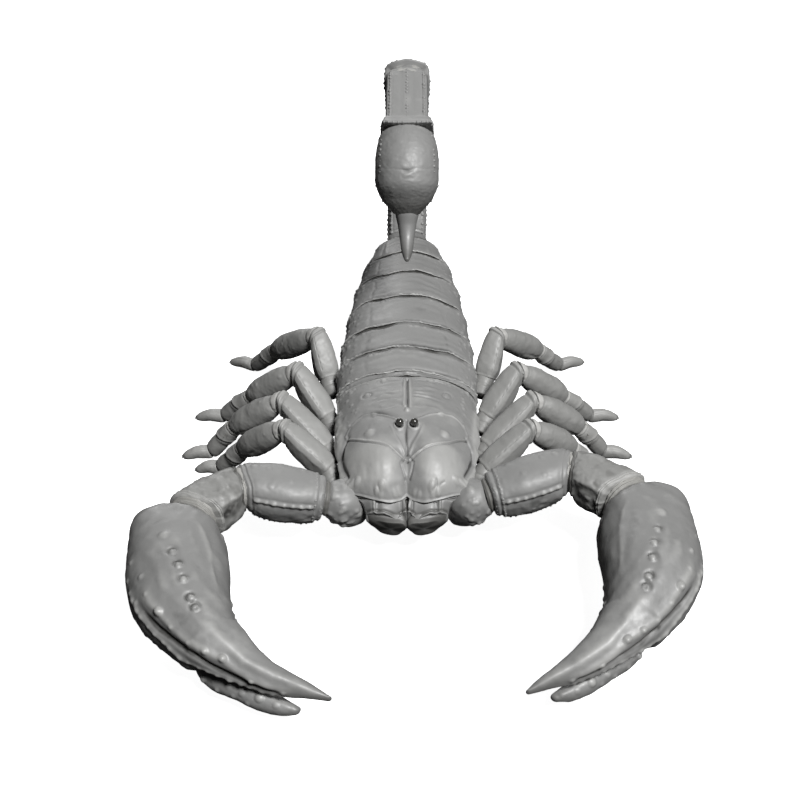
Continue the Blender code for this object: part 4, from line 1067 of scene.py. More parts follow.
def leg_foot(number, side):
    """Lower leg: knee-piece, shin and foot with pale rings between them, ending in two hooks."""
    joints = [np.array(p, float) for p in LEG_JOINTS[number]]
    plane = unit(unit(joints[2] - joints[1]) + unit(joints[3] - joints[2]))
    rings, place = shin_rings(joints[2:], plane)
    skin = Skin(mirrored(rings, side), bulge=0.1)
    base, place = skin.base, place[:, None]
    grounded = ramp(GROUND + 0.02, GROUND + 0.25, base[..., 2])
    angle = np.degrees(skin.turn)
    patella = ramp(0.1, 0.16, place) * ramp(0.96, 0.9, place)
    first_ring = ramp(0.0, 0.01, place) * ramp(0.08, 0.07, place)
    second_ring = ramp(0.985, 1.0, place) * ramp(1.1, 1.08, place)
    lift = 0.05 * wobble(base, 1.1, 160 + number, 3) + 0.01 * wobble(base, 0.35, 161, 2)
    lift += 0.02 * patella * pebbles(base, 0.3, 165, 0.8)
    upper = ramp(-0.2, 0.4, skin.normal[..., 2])
    lift += 0.06 * patella * upper * pebbles(base, 0.55, 164, 0.12)
    crease = bell(angle - 335 - 14 * wobble(base, 2.0, 163, 1), 7)
    lift -= 0.1 * crease * ramp(0.5, 0.75, place) * ramp(0.97, 0.9, place)
    lift += (first_ring + second_ring) * (0.04 + 0.05 * wobble(base, 0.42, 166, 2))
    for joint, deep, wide in ((0.085, 0.1, 0.008), (0.975, 0.12, 0.014), (1.11, 0.1, 0.014),
                              (3.0, 0.15, 0.03)):
        lift -= deep * bell(place - joint, wide)
    turned_back = place - 1.72 - 0.14 * np.cos(np.radians(angle - 100))
    fold = 0.07 * bell(turned_back + 0.05, 0.07) - 0.11 * bell(turned_back - 0.04, 0.04)
    lift += fold * ramp(1.2, 1.4, place)
    lift -= 0.07 * bell(angle - 62, 6) * ramp(3.05, 3.2, place) * ramp(3.9, 3.7, place)
    skin.lift = lift * grounded
    skin.tint_and_shade += 0.8 * (first_ring + second_ring)
    skin.tint_and_shade += 0.12 * ramp(3.0, 3.1, place) * ramp(3.85, 3.6, place)
    skin.tint_and_shade += 0.15 * ramp(1.1, 1.15, place) * ramp(0.05, -0.05, turned_back)
    skin.tint_and_shade -= 0.2 * ramp(0.0, 0.1, turned_back) * ramp(2.98, 2.9, place) + 0.6 * ramp(3.9, 4.0, place)
    return [skin] + foot_hooks(number, side)


def foot_hooks(number, side):
    """Two small curved hooks at the end of a foot."""
    heel, tip = (np.array(p, float) for p in LEG_JOINTS[number][-2:])
    ahead = unit((tip - heel) * (1, 1, 0))
    beside = np.cross(ahead, UP)
    hooks = []
    for way in (-1, 1):
        path = [tip + ahead * a + UP * u + beside * way * b for a, u, b in HOOK_PATH]
        rings = path_tube(path, HOOK_RADIUS, HOOK_RADIUS, 2.0, 14, 14)
        hook = Skin(mirrored(rings, side), bulge=0.02)
        hook.tint_and_shade -= 0.8
        hooks.append(hook)
    return hooks


def hand_place(arm, u, v, z):
    wrist = np.array(arm["wrist"][:2])
    along = unit(np.array(arm["tip"]) - wrist)
    outward = np.array((-along[1], along[0]))
    if outward[0] * arm["wrist"][0] < 0:
        outward = -outward
    plan = wrist + np.multiply.outer(u, along) + np.multiply.outer(v, outward)
    return np.concatenate((plan, np.broadcast_to(z, np.shape(u))[..., None]), -1)


def in_hand(arm, table):
    """Landmarks given as (U, V, Z) in the hand's own frame."""
    return np.array([hand_place(arm, u, v, z) for u, v, z in table])


def hand(side):
    """Palm and fixed finger: soft folds at the heel, a row of dimpled beads and beaded outer keels."""
    arm = ARMS[side]
    u = np.concatenate((np.linspace(-3.2, -2.4, 14), np.arange(-2.3, 27.5, 0.135), [27.5]))[:, None]
    inner, outer = smooth_value(HAND_INNER, u), smooth_value(HAND_OUTER, u)
    top, bottom = smooth_value(HAND_TOP, u), smooth_value(HAND_BOTTOM, u)
    waist = bottom + (top - bottom) * HAND_WAIST
    at_wrist = bell(u - 0.2, 2.4)
    inner = inner - 0.8 * at_wrist
    angle = turns(200)[None, :]
    squareness = 2.15 + 3.2 * at_wrist * ramp(0.0, -0.5, np.cos(angle))
    c, s = rounded(angle, squareness)
    z = waist + s * np.where(s > 0, top - waist, waist - bottom)
    v = (inner + outer) / 2 + c * (outer - inner) / 2
    skin = Skin(hand_place(arm, u + 0 * v, v, z), bulge=0.12)
    base = skin.base
    upper = ramp(0.0, 0.5, skin.normal[..., 2])
    lift = 0.1 * wobble(base, 3.4, 170, 3) + 0.012 * wobble(base, 0.5, 171, 2)
    heel = ramp(4.5, 0.5, u)
    folds = u + 0.09 * (v - 6) ** 2 + 0.7 * wobble(base, 2.5, 172, 2)
    lift += 0.035 * heel * np.sin(2 * np.pi * folds / 1.9)
    fade = ramp(2.5, 5.0, u) * ramp(20.0, 14.0, u) * upper
    bands = v + 0.035 * (u - 9) ** 2 + 0.5 * wobble(base, 3, 173, 2)
    lift += 0.025 * fade * np.sin(2 * np.pi * bands / 1.7)
    tint_and_shade = -0.35 * ramp(20.0, 27.5, u) + 0 * lift
    toward_tip = unit(np.append(np.subtract(arm["tip"], arm["wrist"][:2]), 0.0))
    for k, point in enumerate(in_hand(arm, PALM_BEADS)):
        centre = skin.nearest(point)
        away = np.linalg.norm(base - centre, axis=-1)
        size = 0.44 if k else 0.7
        # painted shadow: a dark crescent on the wrist side of each bead but the first, also sunk a little
        shadow_crescent = bell(np.linalg.norm(base - centre + 0.25 * toward_tip, axis=-1) - size, 0.2) * (k > 0)
        shadow_crescent = shadow_crescent * ramp(0.3, -0.2, (base - centre) @ toward_tip) * ramp(size - 0.1, size, away)
        dome = np.clip(1 - (away / size) ** 2, 0, 1)
        lift += (0.22 * np.sqrt(dome) if k else 0.16 * dome) - 0.15 * shadow_crescent
        tint_and_shade -= 0.35 * shadow_crescent
        if k == len(PALM_BEADS) - 1:
            lift -= 0.2 * bell(away, 0.28)
    beads = skin_line(skin, in_hand(arm, PALM_BEADS[1:]))
    lift -= 0.1 * bell(distance_to(base, beads), 0.75) - 0.05 * bell(distance_to(base, beads), 1.4)
    edge, groove, low_keel, top_ridge, inner_line = (
        skin_line(skin, in_hand(arm, line))
        for line in (UPPER_EDGE, EDGE_GROOVE, LOWER_KEEL, TOP_RIDGE, INNER_LINE))
    lift += ridge(base, edge, 0.5, 0.2) * ramp(7.0, 12.0, u) * ramp(26.0, 23.0, u)
    in_groove = bell(distance_to(base, groove), 0.34) * ramp(8.0, 12.0, u) * ramp(26.0, 22.0, u)
    lift -= 0.42 * in_groove
    # painted shade: the groove along the outer side is darkened
    tint_and_shade -= 0.5 * in_groove
    lift += ridge(base, low_keel, 0.36, 0.2) * ramp(5.0, 8.0, u) * ramp(26.5, 23.5, u)
    lift += ridge(base, top_ridge, 0.55, 0.16) * ramp(14.0, 19.0, u) * ramp(27.5, 25.0, u)
    lift += ridge(base, inner_line, 0.35, 0.1) * ramp(2.0, 4.0, u) * ramp(13.0, 11.0, u)
    lift += knobs_on(skin, arm, PALM_KNOBS)
    lift += 0.1 * pebbles(base, 0.8, 175, 0.35) * ramp(0.1, -0.5, skin.normal[..., 2]) * ramp(26, 22, u)
    lift += knobs_on(skin, arm, EDGE_TUBERCLES)
    skin.lift, skin.tint_and_shade = lift, tint_and_shade
    skin.bead_row(low_keel[:-1], 1.15, 0.4, 0.09, seed=4)
    return skin


def knobs_on(skin, arm, table):
    """Rounded knobs on a claw's skin, from rows of U, V, Z, radius and height."""
    rows = np.array(table, float)
    centres = [skin.nearest(point) for point in in_hand(arm, rows[:, :3])]
    return domes(skin.base, centres, rows[:, 3], rows[:, 4])


def skin_line(skin, points):
    return np.array([skin.nearest(p) for p in points])


def finger(side):
    """The movable finger, with knobs along its outer edge."""
    arm = ARMS[side]
    path, place = curve_through(FINGER_PATH, 150)
    width = smooth_value(dict(enumerate(FINGER_HALF_WIDTH)), place)[:, None]
    depth = smooth_value(dict(enumerate(FINGER_HALF_DEPTH)), place)[:, None]
    c, s = rounded(turns(84)[None, :], 2.2)
    u = path[:, :1] + c * width * FINGER_ACROSS[0]
    v = path[:, 1:2] + c * width * FINGER_ACROSS[1] + arm["gape"]
    skin = Skin(hand_place(arm, u, v, path[:, 2:] + s * depth), bulge=0.35)
    base = skin.base
    skin.lift = 0.06 * wobble(base, 1.6, 180, 3) + 0.01 * wobble(base, 0.4, 181, 2)
    skin.lift += knobs_on(skin, arm, FINGER_KNOBS)
    skin.lift += ridge(base, skin_line(skin, in_hand(arm, FINGER_SPINE)), 0.4, 0.1)
    skin.tint_and_shade -= 0.25 * ramp(4.0, 6.0, place)[:, None]
    return skin


def arm_frame(side):
    """Joints, axes and mitre planes of one arm."""
    arm = ARMS[side]
    shoulder, elbow = (np.array(arm[k], float) for k in ("shoulder", "elbow"))
    height = arm["wrist"][2]
    wrist = hand_place(arm, *WRIST_PLACE, height)
    facing = unit(hand_place(arm, *(np.array(WRIST_PLACE) + WRIST_FACING), height) - wrist)
    upper, fore = unit(elbow - shoulder), unit(wrist - elbow)
    return shoulder, elbow, wrist, upper, fore, unit(upper + fore), facing


def from_front(side, degrees):
    """An angle round the arm counted from its front edge over the top, on either side."""
    return degrees if side == "left" else 180 - degrees


def around(skin, degrees):
    return abs((np.degrees(skin.turn) - degrees + 180) % 360 - 180)


def trochanter(side):
    """The lumpy short joint between the body and the arm."""
    path = np.array(TROCHANTER_PATH)
    rings = path_tube(path, TROCHANTER_RADIUS, TROCHANTER_RADIUS, 2.3, 44, 110)
    skin = Skin(mirrored(rings, side), bulge=0.5)
    base = skin.base
    front = -base[..., 1]
    skin.lift = 0.08 * wobble(base, 1.7, 190, 3) + 0.17 * pebbles(base, 1.3, 191, 0.4)
    skin.lift += 0.12 * pebbles(base, 0.65, 192, 0.4) * ramp(17.0, 18.0, front)
    return skin


def arm_femur(side):
    """The arm's upper segment, with a beaded front keel and a beaded double ring at the shoulder."""
    shoulder, elbow, _, axis, _, plane, _ = arm_frame(side)
    profile = {0: 2.25, 0.04: 2.5, 0.1: 2.66, 0.16: 2.82, 0.5: 3.16, 0.85: 2.86, 0.95: 2.5, 1: 2.2}
    skin = Skin(mitred(shoulder, elbow, axis, plane, profile, 2.6, 96, 200, 0.92), bulge=0.2)
    base, t = skin.base, skin.t
    skin.lift = 0.07 * wobble(base, 2.2, 200, 3) + 0.012 * wobble(base, 0.45, 201, 2)
    keel = from_front(side, 13)
    gap = around(skin, keel)
    body = ramp(0.08, 0.14, t) * ramp(0.97, 0.9, t)
    skin.lift += (0.1 * bell(gap, 4) - 0.04 * bell(gap - 9, 4)) * body
    below_keel = bell(around(skin, from_front(side, 7)), 2.6) * body
    skin.lift -= 0.07 * below_keel + 0.1 * bell(around(skin, from_front(side, -18)), 16) * body
    # painted shade: the groove under the front keel is darkened
    skin.tint_and_shade -= 0.25 * below_keel
    low_keel = from_front(side, FEMUR_LOWER_KEEL)
    skin.lift += 0.07 * bell(around(skin, low_keel), 6) * body
    under = (np.sin(skin.turn) < 0) * body
    skin.lift += 0.06 * pebbles(base, 0.75, 202, 0.3) * under + 0.05 * wobble(base, 1.1, 203, 2) * under
    places, angles, radii, heights = np.array(FEMUR_BUMPS).T
    skin.lift += domes(base, skin.at(places, from_front(side, angles)), radii, heights)
    rough = 0.35 + 0.9 * pebbles(base, 0.42, 204, 0.9)
    skin.lift += (0.13 * bell(t - 0.1, 0.016) + 0.1 * bell(t - 0.03, 0.016)) * rough
    skin.lift -= 0.1 * bell(t - 0.065, 0.018)
    bent = t + 0.012 * wobble(base, 1.4, 205, 2)
    for place, height in ((0.97, 0.06), (0.945, -0.08), (0.92, 0.05)):
        skin.lift += height * bell(bent - place, 0.012)
    skin.bead_row(skin.line(keel, 0.12, 0.93), 0.95, 0.38, 0.12, seed=6)
    return skin, low_keel


def arm_patella(side):
    """The arm's fore segment: mottled and lumpy, with a soft inner swelling."""
    _, elbow, wrist, _, _, plane, facing = arm_frame(side)
    profile = {0: 2.2, 0.05: 2.4, 0.3: 2.8, 0.7: 3.02, 0.93: 3.0, 1: 2.85}
    skin = Skin(mitred(elbow, wrist, plane, facing, profile, 2.8, 76, 200, 0.93), bulge=0.2)
    base, t = skin.base, skin.t
    skin.lift = 0.13 * wobble(base, 1.7, 210, 3) + 0.075 * wobble(base, 0.85, 214, 2)
    skin.lift += 0.015 * wobble(base, 0.45, 211, 2)
    along = ramp(0.05, 0.2, t) * ramp(0.95, 0.85, t)
    skin.lift += 0.12 * bell(around(skin, from_front(side, 33)), 7) * along
    skin.lift -= 0.16 * bell(around(skin, from_front(side, 8)), 18) * along
    bent = t + 0.02 * wobble(base, 1.3, 213, 2)
    for place, height in ((0.97, 0.08), (0.945, -0.09), (0.92, 0.07), (0.895, -0.08), (0.03, 0.07),
                          (0.06, -0.1)):
        skin.lift += height * bell(bent - place, 0.012)
    jagged = t + 0.035 * wobble(base, 0.7, 215, 2)
    skin.tint_and_shade += 0.2 * ramp(0.87, 0.92, bent) - 0.6 * ramp(0.085, 0.045, jagged)
    skin.tint_and_shade -= (0.18 + 0.3 * ramp(0.0, 0.6, wobble(base, 1.2, 216, 3))) * ramp(0.9, 0.8, t)
    skin.lift += 0.1 * pebbles(base, 0.8, 212, 0.35) * (np.sin(skin.turn) < 0.1)
    return skin


def arm_sleeves(side):
    """The pale folded membranes at one arm's shoulder, elbow and wrist; the shoulder one is painted dark as
    shade.
    """
    shoulder, elbow, wrist, upper, fore, _, facing = arm_frame(side)
    inside = sleeve(shoulder, upper, upper, 1.95, 1.2, 2, 0.92, 2.6)
    # painted shade: the shoulder membrane is darkened as the shadowed gap between the segments
    inside.tint_and_shade -= 0.9
    wrist_band = sleeve(wrist + facing * 0.2, facing, facing, 2.85, 1.1, 3, 0.95)
    wrist_band.lift += 0.05 * wobble(wrist_band.base, 0.4, 142, 2)
    wrist_band.tint_and_shade -= 0.35
    return [inside, sleeve(elbow, upper, fore, 2.3, 1.7, 5, 0.95), wrist_band]


# ---------------------------------------------------------------- repeated parts


def add(tree, kind, inputs=None, **settings):
    """Add one node with its settings; inputs are values, or sockets to link."""
    node = tree.nodes.new(kind)
    for name, value in settings.items():
        setattr(node, name, value)
    for key, value in (inputs or {}).items():
        if isinstance(value, bpy.types.NodeSocket):
            tree.links.new(value, node.inputs[key])
        else:
            node.inputs[key].default_value = value
    return node


def new_tree(name, sizes):
    """A geometry tree with a geometry input, one named input for each size, a seed and a finish."""
    tree = bpy.data.node_groups.new(name, "GeometryNodeTree")
    tree.interface.new_socket("Geometry", in_out="INPUT", socket_type="NodeSocketGeometry")
    for size in sizes:
        tree.interface.new_socket(size, in_out="INPUT", socket_type="NodeSocketFloat")
    tree.interface.new_socket("Seed", in_out="INPUT", socket_type="NodeSocketInt")
    tree.interface.new_socket("Finish", in_out="INPUT", socket_type="NodeSocketMaterial")
    tree.interface.new_socket("Geometry", in_out="OUTPUT", socket_type="NodeSocketGeometry")
    return tree, tree.nodes.new("NodeGroupInput").outputs


def close_tree(tree, instances, given):
    """End a tree: real geometry, smooth shading and a material."""
    real = add(tree, "GeometryNodeRealizeInstances", {"Geometry": instances})
    smooth = add(tree, "GeometryNodeSetShadeSmooth", {"Geometry": real.outputs[0]})
    coated = add(tree, "GeometryNodeSetMaterial",
                 {"Geometry": smooth.outputs[0], "Material": given["Finish"]})
    add(tree, "NodeGroupOutput", {"Geometry": coated.outputs[0]})
    return tree


def bead_tree():
    """Rounded granules along keel lines; each is a small faceted ball, half sunk in its keel."""
    tree, given = new_tree("Keel granules", ("Spacing", "Radius", "Unevenness"))
    curve = add(tree, "GeometryNodeMeshToCurve", {"Mesh": given["Geometry"]})
    points = add(tree, "GeometryNodeCurveToPoints", {"Curve": curve.outputs[0], "Length": given["Spacing"]},
                 mode="LENGTH")
    ball = add(tree, "GeometryNodeMeshIcoSphere", {"Radius": given["Radius"], "Subdivisions": 2})
    low = add(tree, "ShaderNodeMath", {0: 1.0, 1: given["Unevenness"]}, operation="SUBTRACT")
    high = add(tree, "ShaderNodeMath", {0: 1.0, 1: given["Unevenness"]}, operation="ADD")
    size = add(tree, "FunctionNodeRandomValue",
               {2: low.outputs[0], 3: high.outputs[0], "Seed": given["Seed"]}, data_type="FLOAT")
    placed = add(tree, "GeometryNodeInstanceOnPoints",
                 {"Points": points.outputs[0], "Instance": ball.outputs[0],
                  "Rotation": points.outputs["Rotation"], "Scale": size.outputs[1]})
    return close_tree(tree, placed.outputs[0], given)


def tooth_tree():
    """Blunt teeth along the rear edge of a comb."""
    tree, given = new_tree("Comb teeth", ("Spacing", "Radius", "Length", "Angle"))
    curve = add(tree, "GeometryNodeMeshToCurve", {"Mesh": given["Geometry"]})
    points = add(tree, "GeometryNodeCurveToPoints", {"Curve": curve.outputs[0], "Length": given["Spacing"]},
                 mode="LENGTH")
    ball = add(tree, "GeometryNodeMeshUVSphere", {"Segments": 10, "Rings": 8, "Radius": given["Radius"]})
    stretch = add(tree, "ShaderNodeMath", {0: given["Length"], 1: given["Radius"]}, operation="DIVIDE")
    shape = add(tree, "ShaderNodeCombineXYZ", {"X": 1.0, "Y": stretch.outputs[0], "Z": 0.8})
    tooth = add(tree, "GeometryNodeTransform", {"Geometry": ball.outputs[0], "Scale": shape.outputs[0]})
    lean = add(tree, "FunctionNodeRandomValue", {2: -0.06, 3: 0.06, "Seed": given["Seed"]}, data_type="FLOAT")
    angle = add(tree, "ShaderNodeMath", {0: lean.outputs[1], 1: given["Angle"]}, operation="ADD")
    turn = add(tree, "ShaderNodeCombineXYZ", {"Z": angle.outputs[0]})
    placed = add(tree, "GeometryNodeInstanceOnPoints",
                 {"Points": points.outputs[0], "Instance": tooth.outputs[0], "Rotation": turn.outputs[0]})
    return close_tree(tree, placed.outputs[0], given)


def bristle_tree():
    """Short stiff bristles scattered over a skin, leaning a little."""
    tree, given = new_tree("Bristles", ("Per square metre", "Length", "Radius"))
    points = add(tree, "GeometryNodeDistributePointsOnFaces",
                 {"Mesh": given["Geometry"], "Density": given["Per square metre"], "Seed": given["Seed"]})
    spike = add(tree, "GeometryNodeMeshCone", {"Vertices": 5, "Side Segments": 2, "Radius Top": BRISTLE_TIP,
                                               "Radius Bottom": given["Radius"], "Depth": given["Length"]})
    lean = add(tree, "FunctionNodeRandomValue",
               {0: (-0.5, -0.5, -0.5), 1: (0.5, 0.5, 0.5), "Seed": given["Seed"]}, data_type="FLOAT_VECTOR")
    turn = add(tree, "FunctionNodeRotateRotation", {"Rotation": points.outputs["Rotation"],
                                                    "Rotate By": lean.outputs[0]}, rotation_space="LOCAL")
    size = add(tree, "FunctionNodeRandomValue", {2: 0.55, 3: 1.15, "Seed": given["Seed"]}, data_type="FLOAT")
    placed = add(tree, "GeometryNodeInstanceOnPoints",
                 {"Points": points.outputs[0], "Instance": spike.outputs[0], "Rotation": turn.outputs[0],
                  "Scale": size.outputs[1]})
    return close_tree(tree, placed.outputs[0], given)


def grow(name, source, tree, title, slot, seed, **sizes):
    """Run a tree on a mesh, make the result a plain mesh in one finish and hand it over."""
    carrier = bpy.data.objects.new(name + "_source", source)
    bpy.context.scene.collection.objects.link(carrier)
    modifier = carrier.modifiers.new("Grow", "NODES")
    modifier.node_group = tree
    values = {key.replace("_", " "): value for key, value in sizes.items()}
    values.update({"Seed": seed, "Finish": finish(title)})
    for socket in tree.interface.items_tree:
        if socket.in_out == "INPUT" and socket.name in values:
            modifier[socket.identifier] = values[socket.name]
    ready = carrier.evaluated_get(bpy.context.evaluated_depsgraph_get())
    mesh = bpy.data.meshes.new_from_object(ready)
    carrier.modifiers.remove(modifier)
    bpy.data.objects.remove(carrier)
    if not mesh.polygons:
        raise RuntimeError(f"{name} grew nothing")
    mesh.name = name
    write_layer(mesh, "relief", np.full(len(mesh.vertices), GROWN_RELIEF))
    made = bpy.data.objects.new(name, mesh)
    bpy.context.scene.collection.objects.link(made)
    keep(made, slot)


def lines_mesh(name, lines):
    """A mesh of open polylines, in metres in the model's frame."""
    points = [(np.asarray(line) + shift()) * MM for line in lines]
    edges, start = [], 0
    for line in points:
        edges += [(start + k, start + k + 1) for k in range(len(line) - 1)]
        start += len(line)
    mesh = bpy.data.meshes.new(name)
    mesh.from_pydata(np.vstack(points).tolist(), edges, [])
    return mesh


def patch_mesh(name, skins, chosen):
    """The faces of some skins whose middles pass a test, for scattering on."""
    points, faces, start = [], [], 0
    for skin in skins:
        places = skin.surface()
        rows, count = places.shape[:2]
        quads = grid_quads(rows, count)[chosen(skin, places)[:-1]]
        if skin.turned:
            quads = quads[:, ::-1]
        points.append(places.reshape(-1, 3))
        faces += (quads + start).tolist()
        start += rows * count
    mesh = bpy.data.meshes.new(name)
    mesh.from_pydata(((np.vstack(points) + shift()) * MM).tolist(), [], faces)
    return mesh


# ---------------------------------------------------------------- materials


def linear(code):
    """A six-digit sRGB hex colour as linear RGBA."""
    parts = [int(code[k:k + 2], 16) / 255 for k in (0, 2, 4)]
    return tuple(c / 12.92 if c <= 0.04045 else ((c + 0.055) / 1.055) ** 2.4 for c in parts) + (1.0,)


def opaque(colour):
    return (*colour[:3], 1.0)


def new_material(name):
    """A material, its node tree, its shader and the place on the object that patterns follow."""
    made = bpy.data.materials.new(name)
    made.use_nodes = True
    tree = made.node_tree
    return made, tree, tree.nodes["Principled BSDF"], add(tree, "ShaderNodeTexCoord").outputs["Object"]


def chitin(name, hollow_shade, body, crest_highlight, pale, dark, rough=0.56, speckle=0.07, coat=0.1, grain_mm=0.16):
    """Hardened chitin: tanned cuticle in lapped layers under a thin waxy film.

    The eye gets painted shade in its duller hollows, a painted highlight on its crests, a soft mottling about
    2 mm across and a leathery grain a few hundredths of a millimetre deep. The grain is drawn a little
    coarser than life.
    """
    made, tree, shader, place = new_material(name)
    relief = add(tree, "ShaderNodeAttribute", attribute_name="relief").outputs["Fac"]
    tint_and_shade = add(tree, "ShaderNodeAttribute", attribute_name="tint_and_shade").outputs["Fac"]
    mottle = add(tree, "ShaderNodeTexNoise",
                 {"Vector": place, "Scale": MOTTLE_SCALE, "Detail": 5.0, "Roughness": 0.6})
    fine = add(tree, "ShaderNodeTexNoise", {"Vector": place, "Scale": FINE_SCALE, "Detail": 3.0})
    spread = add(tree, "ShaderNodeMapRange", {0: mottle.outputs[0], 1: 0.3, 2: 0.7, 3: -speckle, 4: speckle})
    level = add(tree, "ShaderNodeMath", {0: relief, 1: spread.outputs[0]}, operation="ADD")
    # colours by relief: painted shade in the hollows, body colour between, painted highlight on the crests
    shades = add(tree, "ShaderNodeValToRGB", {0: level.outputs[0]})
    for element, (position, colour) in zip((shades.color_ramp.elements[0], shades.color_ramp.elements[1]),
                                           ((0.1, hollow_shade), (0.85, crest_highlight))):
        element.position = position
        element.color = opaque(colour)
    for position in (0.37, 0.56):
        shades.color_ramp.elements.new(position).color = opaque(body)
    # the tint lightens towards the membrane colour, and darkens towards the tip colour for real dark tips and
    # for painted shade
    is_pale = add(tree, "ShaderNodeMath", {0: tint_and_shade, 1: 0.0}, operation="MAXIMUM")
    is_dark = add(tree, "ShaderNodeMath", {0: tint_and_shade, 1: -1.0}, operation="MULTIPLY", use_clamp=True)
    lighter = add(tree, "ShaderNodeMix", {0: is_pale.outputs[0], 6: shades.outputs[0], 7: opaque(pale)},
                  data_type="RGBA")
    darker = add(tree, "ShaderNodeMix", {0: is_dark.outputs[0], 6: lighter.outputs[2], 7: opaque(dark)},
                 data_type="RGBA")
    tree.links.new(darker.outputs[2], shader.inputs["Base Color"])
    gloss = add(tree, "ShaderNodeMapRange",
                {0: fine.outputs[0], 1: 0.3, 2: 0.7, 3: rough - 0.05, 4: rough + 0.08})
    softer = add(tree, "ShaderNodeMath", {0: is_pale.outputs[0], 1: 0.12, 2: gloss.outputs[0]},
                 operation="MULTIPLY_ADD")
    tree.links.new(softer.outputs[0], shader.inputs["Roughness"])
    cells = add(tree, "ShaderNodeTexVoronoi", {"Vector": place, "Scale": 1.0 / (grain_mm * MM)})
    both = add(tree, "ShaderNodeMath", {0: cells.outputs["Distance"], 1: 0.45, 2: fine.outputs[0]},
               operation="MULTIPLY_ADD")
    bump = add(tree, "ShaderNodeBump", {"Height": both.outputs[0], "Strength": 0.22, "Distance": 0.00003})
    tree.links.new(bump.outputs[0], shader.inputs["Normal"])
    shader.inputs["IOR"].default_value = CUTICLE_IOR
    shader.inputs["Coat Weight"].default_value = coat
    shader.inputs["Coat Roughness"].default_value = 0.35
    shader.inputs["Specular IOR Level"].default_value = 0.75
    return made


FINISHES = {}


def finish(title):
    """A material by name, made the first time it is asked for."""
    if title not in FINISHES and title in CHITINS:
        *own, differences = CHITINS[title]
        colours = bpy.context.scene.scorpion_colours
        tones = [getattr(colours, tone) for tone in (*own, "membrane", "tip")]
        FINISHES[title] = chitin(title, *tones, **differences)
    elif title not in FINISHES:
        FINISHES[title] = {"eye_lens": eye_lens, "bristle_keratin": bristle_stuff}[title]()
    return FINISHES[title]


def eye_lens():
    """A clear hard lens over black pigment: dark grey-brown with a wet gloss and faint cloudiness."""
    made, tree, shader, place = new_material("eye_lens")
    cloud = add(tree, "ShaderNodeTexNoise", {"Vector": place, "Scale": 2500.0, "Detail": 3.0})
    shades = add(tree, "ShaderNodeValToRGB", {0: cloud.outputs[0]})
    shades.color_ramp.elements[0].color = linear("2b2b29")
    shades.color_ramp.elements[1].color = linear("4a4946")
    tree.links.new(shades.outputs[0], shader.inputs["Base Color"])
    haze = add(tree, "ShaderNodeMapRange", {0: cloud.outputs[0], 3: 0.08, 4: 0.2})
    tree.links.new(haze.outputs[0], shader.inputs["Roughness"])
    shader.inputs["Coat Weight"].default_value = 0.8
    shader.inputs["Coat Roughness"].default_value = 0.06
    return made


def bristle_stuff():
    """Hair-like setae: translucent chitin, brown-grey at the root and lighter at the tip."""
    made, tree, shader, place = new_material("bristle_keratin")
    tone = add(tree, "ShaderNodeTexNoise", {"Vector": place, "Scale": 900.0})
    shades = add(tree, "ShaderNodeValToRGB", {0: tone.outputs[0]})
    shades.color_ramp.elements[0].color = linear("4c4943")
    shades.color_ramp.elements[1].color = linear("8a867c")
    tree.links.new(shades.outputs[0], shader.inputs["Base Color"])
    shader.inputs["Roughness"].default_value = 0.45
    return made


def floor_paper():
    """Matt white paper sweep: nearly even, with the faintest mottling of pressed fibre."""
    made, tree, shader, place = new_material("floor_paper")
    fibre = add(tree, "ShaderNodeTexNoise", {"Vector": place, "Scale": 60.0, "Detail": 4.0})
    shades = add(tree, "ShaderNodeValToRGB", {0: fibre.outputs[0]})
    shades.color_ramp.elements[0].color = linear("f4f4f4")
    shades.color_ramp.elements[1].color = linear("fafafa")
    tree.links.new(shades.outputs[0], shader.inputs["Base Color"])
    shader.inputs["Roughness"].default_value = 0.95
    shader.inputs["Specular IOR Level"].default_value = 0.1
    return made


def quiet_floor(made, glow, bounce):
    """Let the floor look white and lit, yet throw little light back up at the animal."""
    tree = made.node_tree
    shader = tree.nodes["Principled BSDF"]
    output = tree.nodes["Material Output"]
    lamp = add(tree, "ShaderNodeEmission", {"Color": linear("ffffff"), "Strength": glow})
    lit = add(tree, "ShaderNodeAddShader", {0: shader.outputs[0], 1: lamp.outputs[0]})
    dull = add(tree, "ShaderNodeBsdfDiffuse", {"Color": (bounce, bounce, bounce, 1.0)})
    seen = add(tree, "ShaderNodeLightPath").outputs["Is Camera Ray"]
    both = add(tree, "ShaderNodeMixShader", {0: seen, 1: dull.outputs[0], 2: lit.outputs[0]})
    tree.links.new(both.outputs[0], output.inputs["Surface"])


# ---------------------------------------------------------------- pieces


def make_shield():
    dress("shield", [carapace()], "plate_chitin", "shell", "carapace")
    for side in SIDES:
        dress(f"eyes_{side}", eye_beads(side), "eye_lens", "eye", f"eye_{side}")


def make_back_plates():
    for number in range(1, len(TERGITE_EDGES)):
        dress(f"back_plate_{number}", [tergite(number)], "plate_chitin", "shell", f"tergite_{number}")


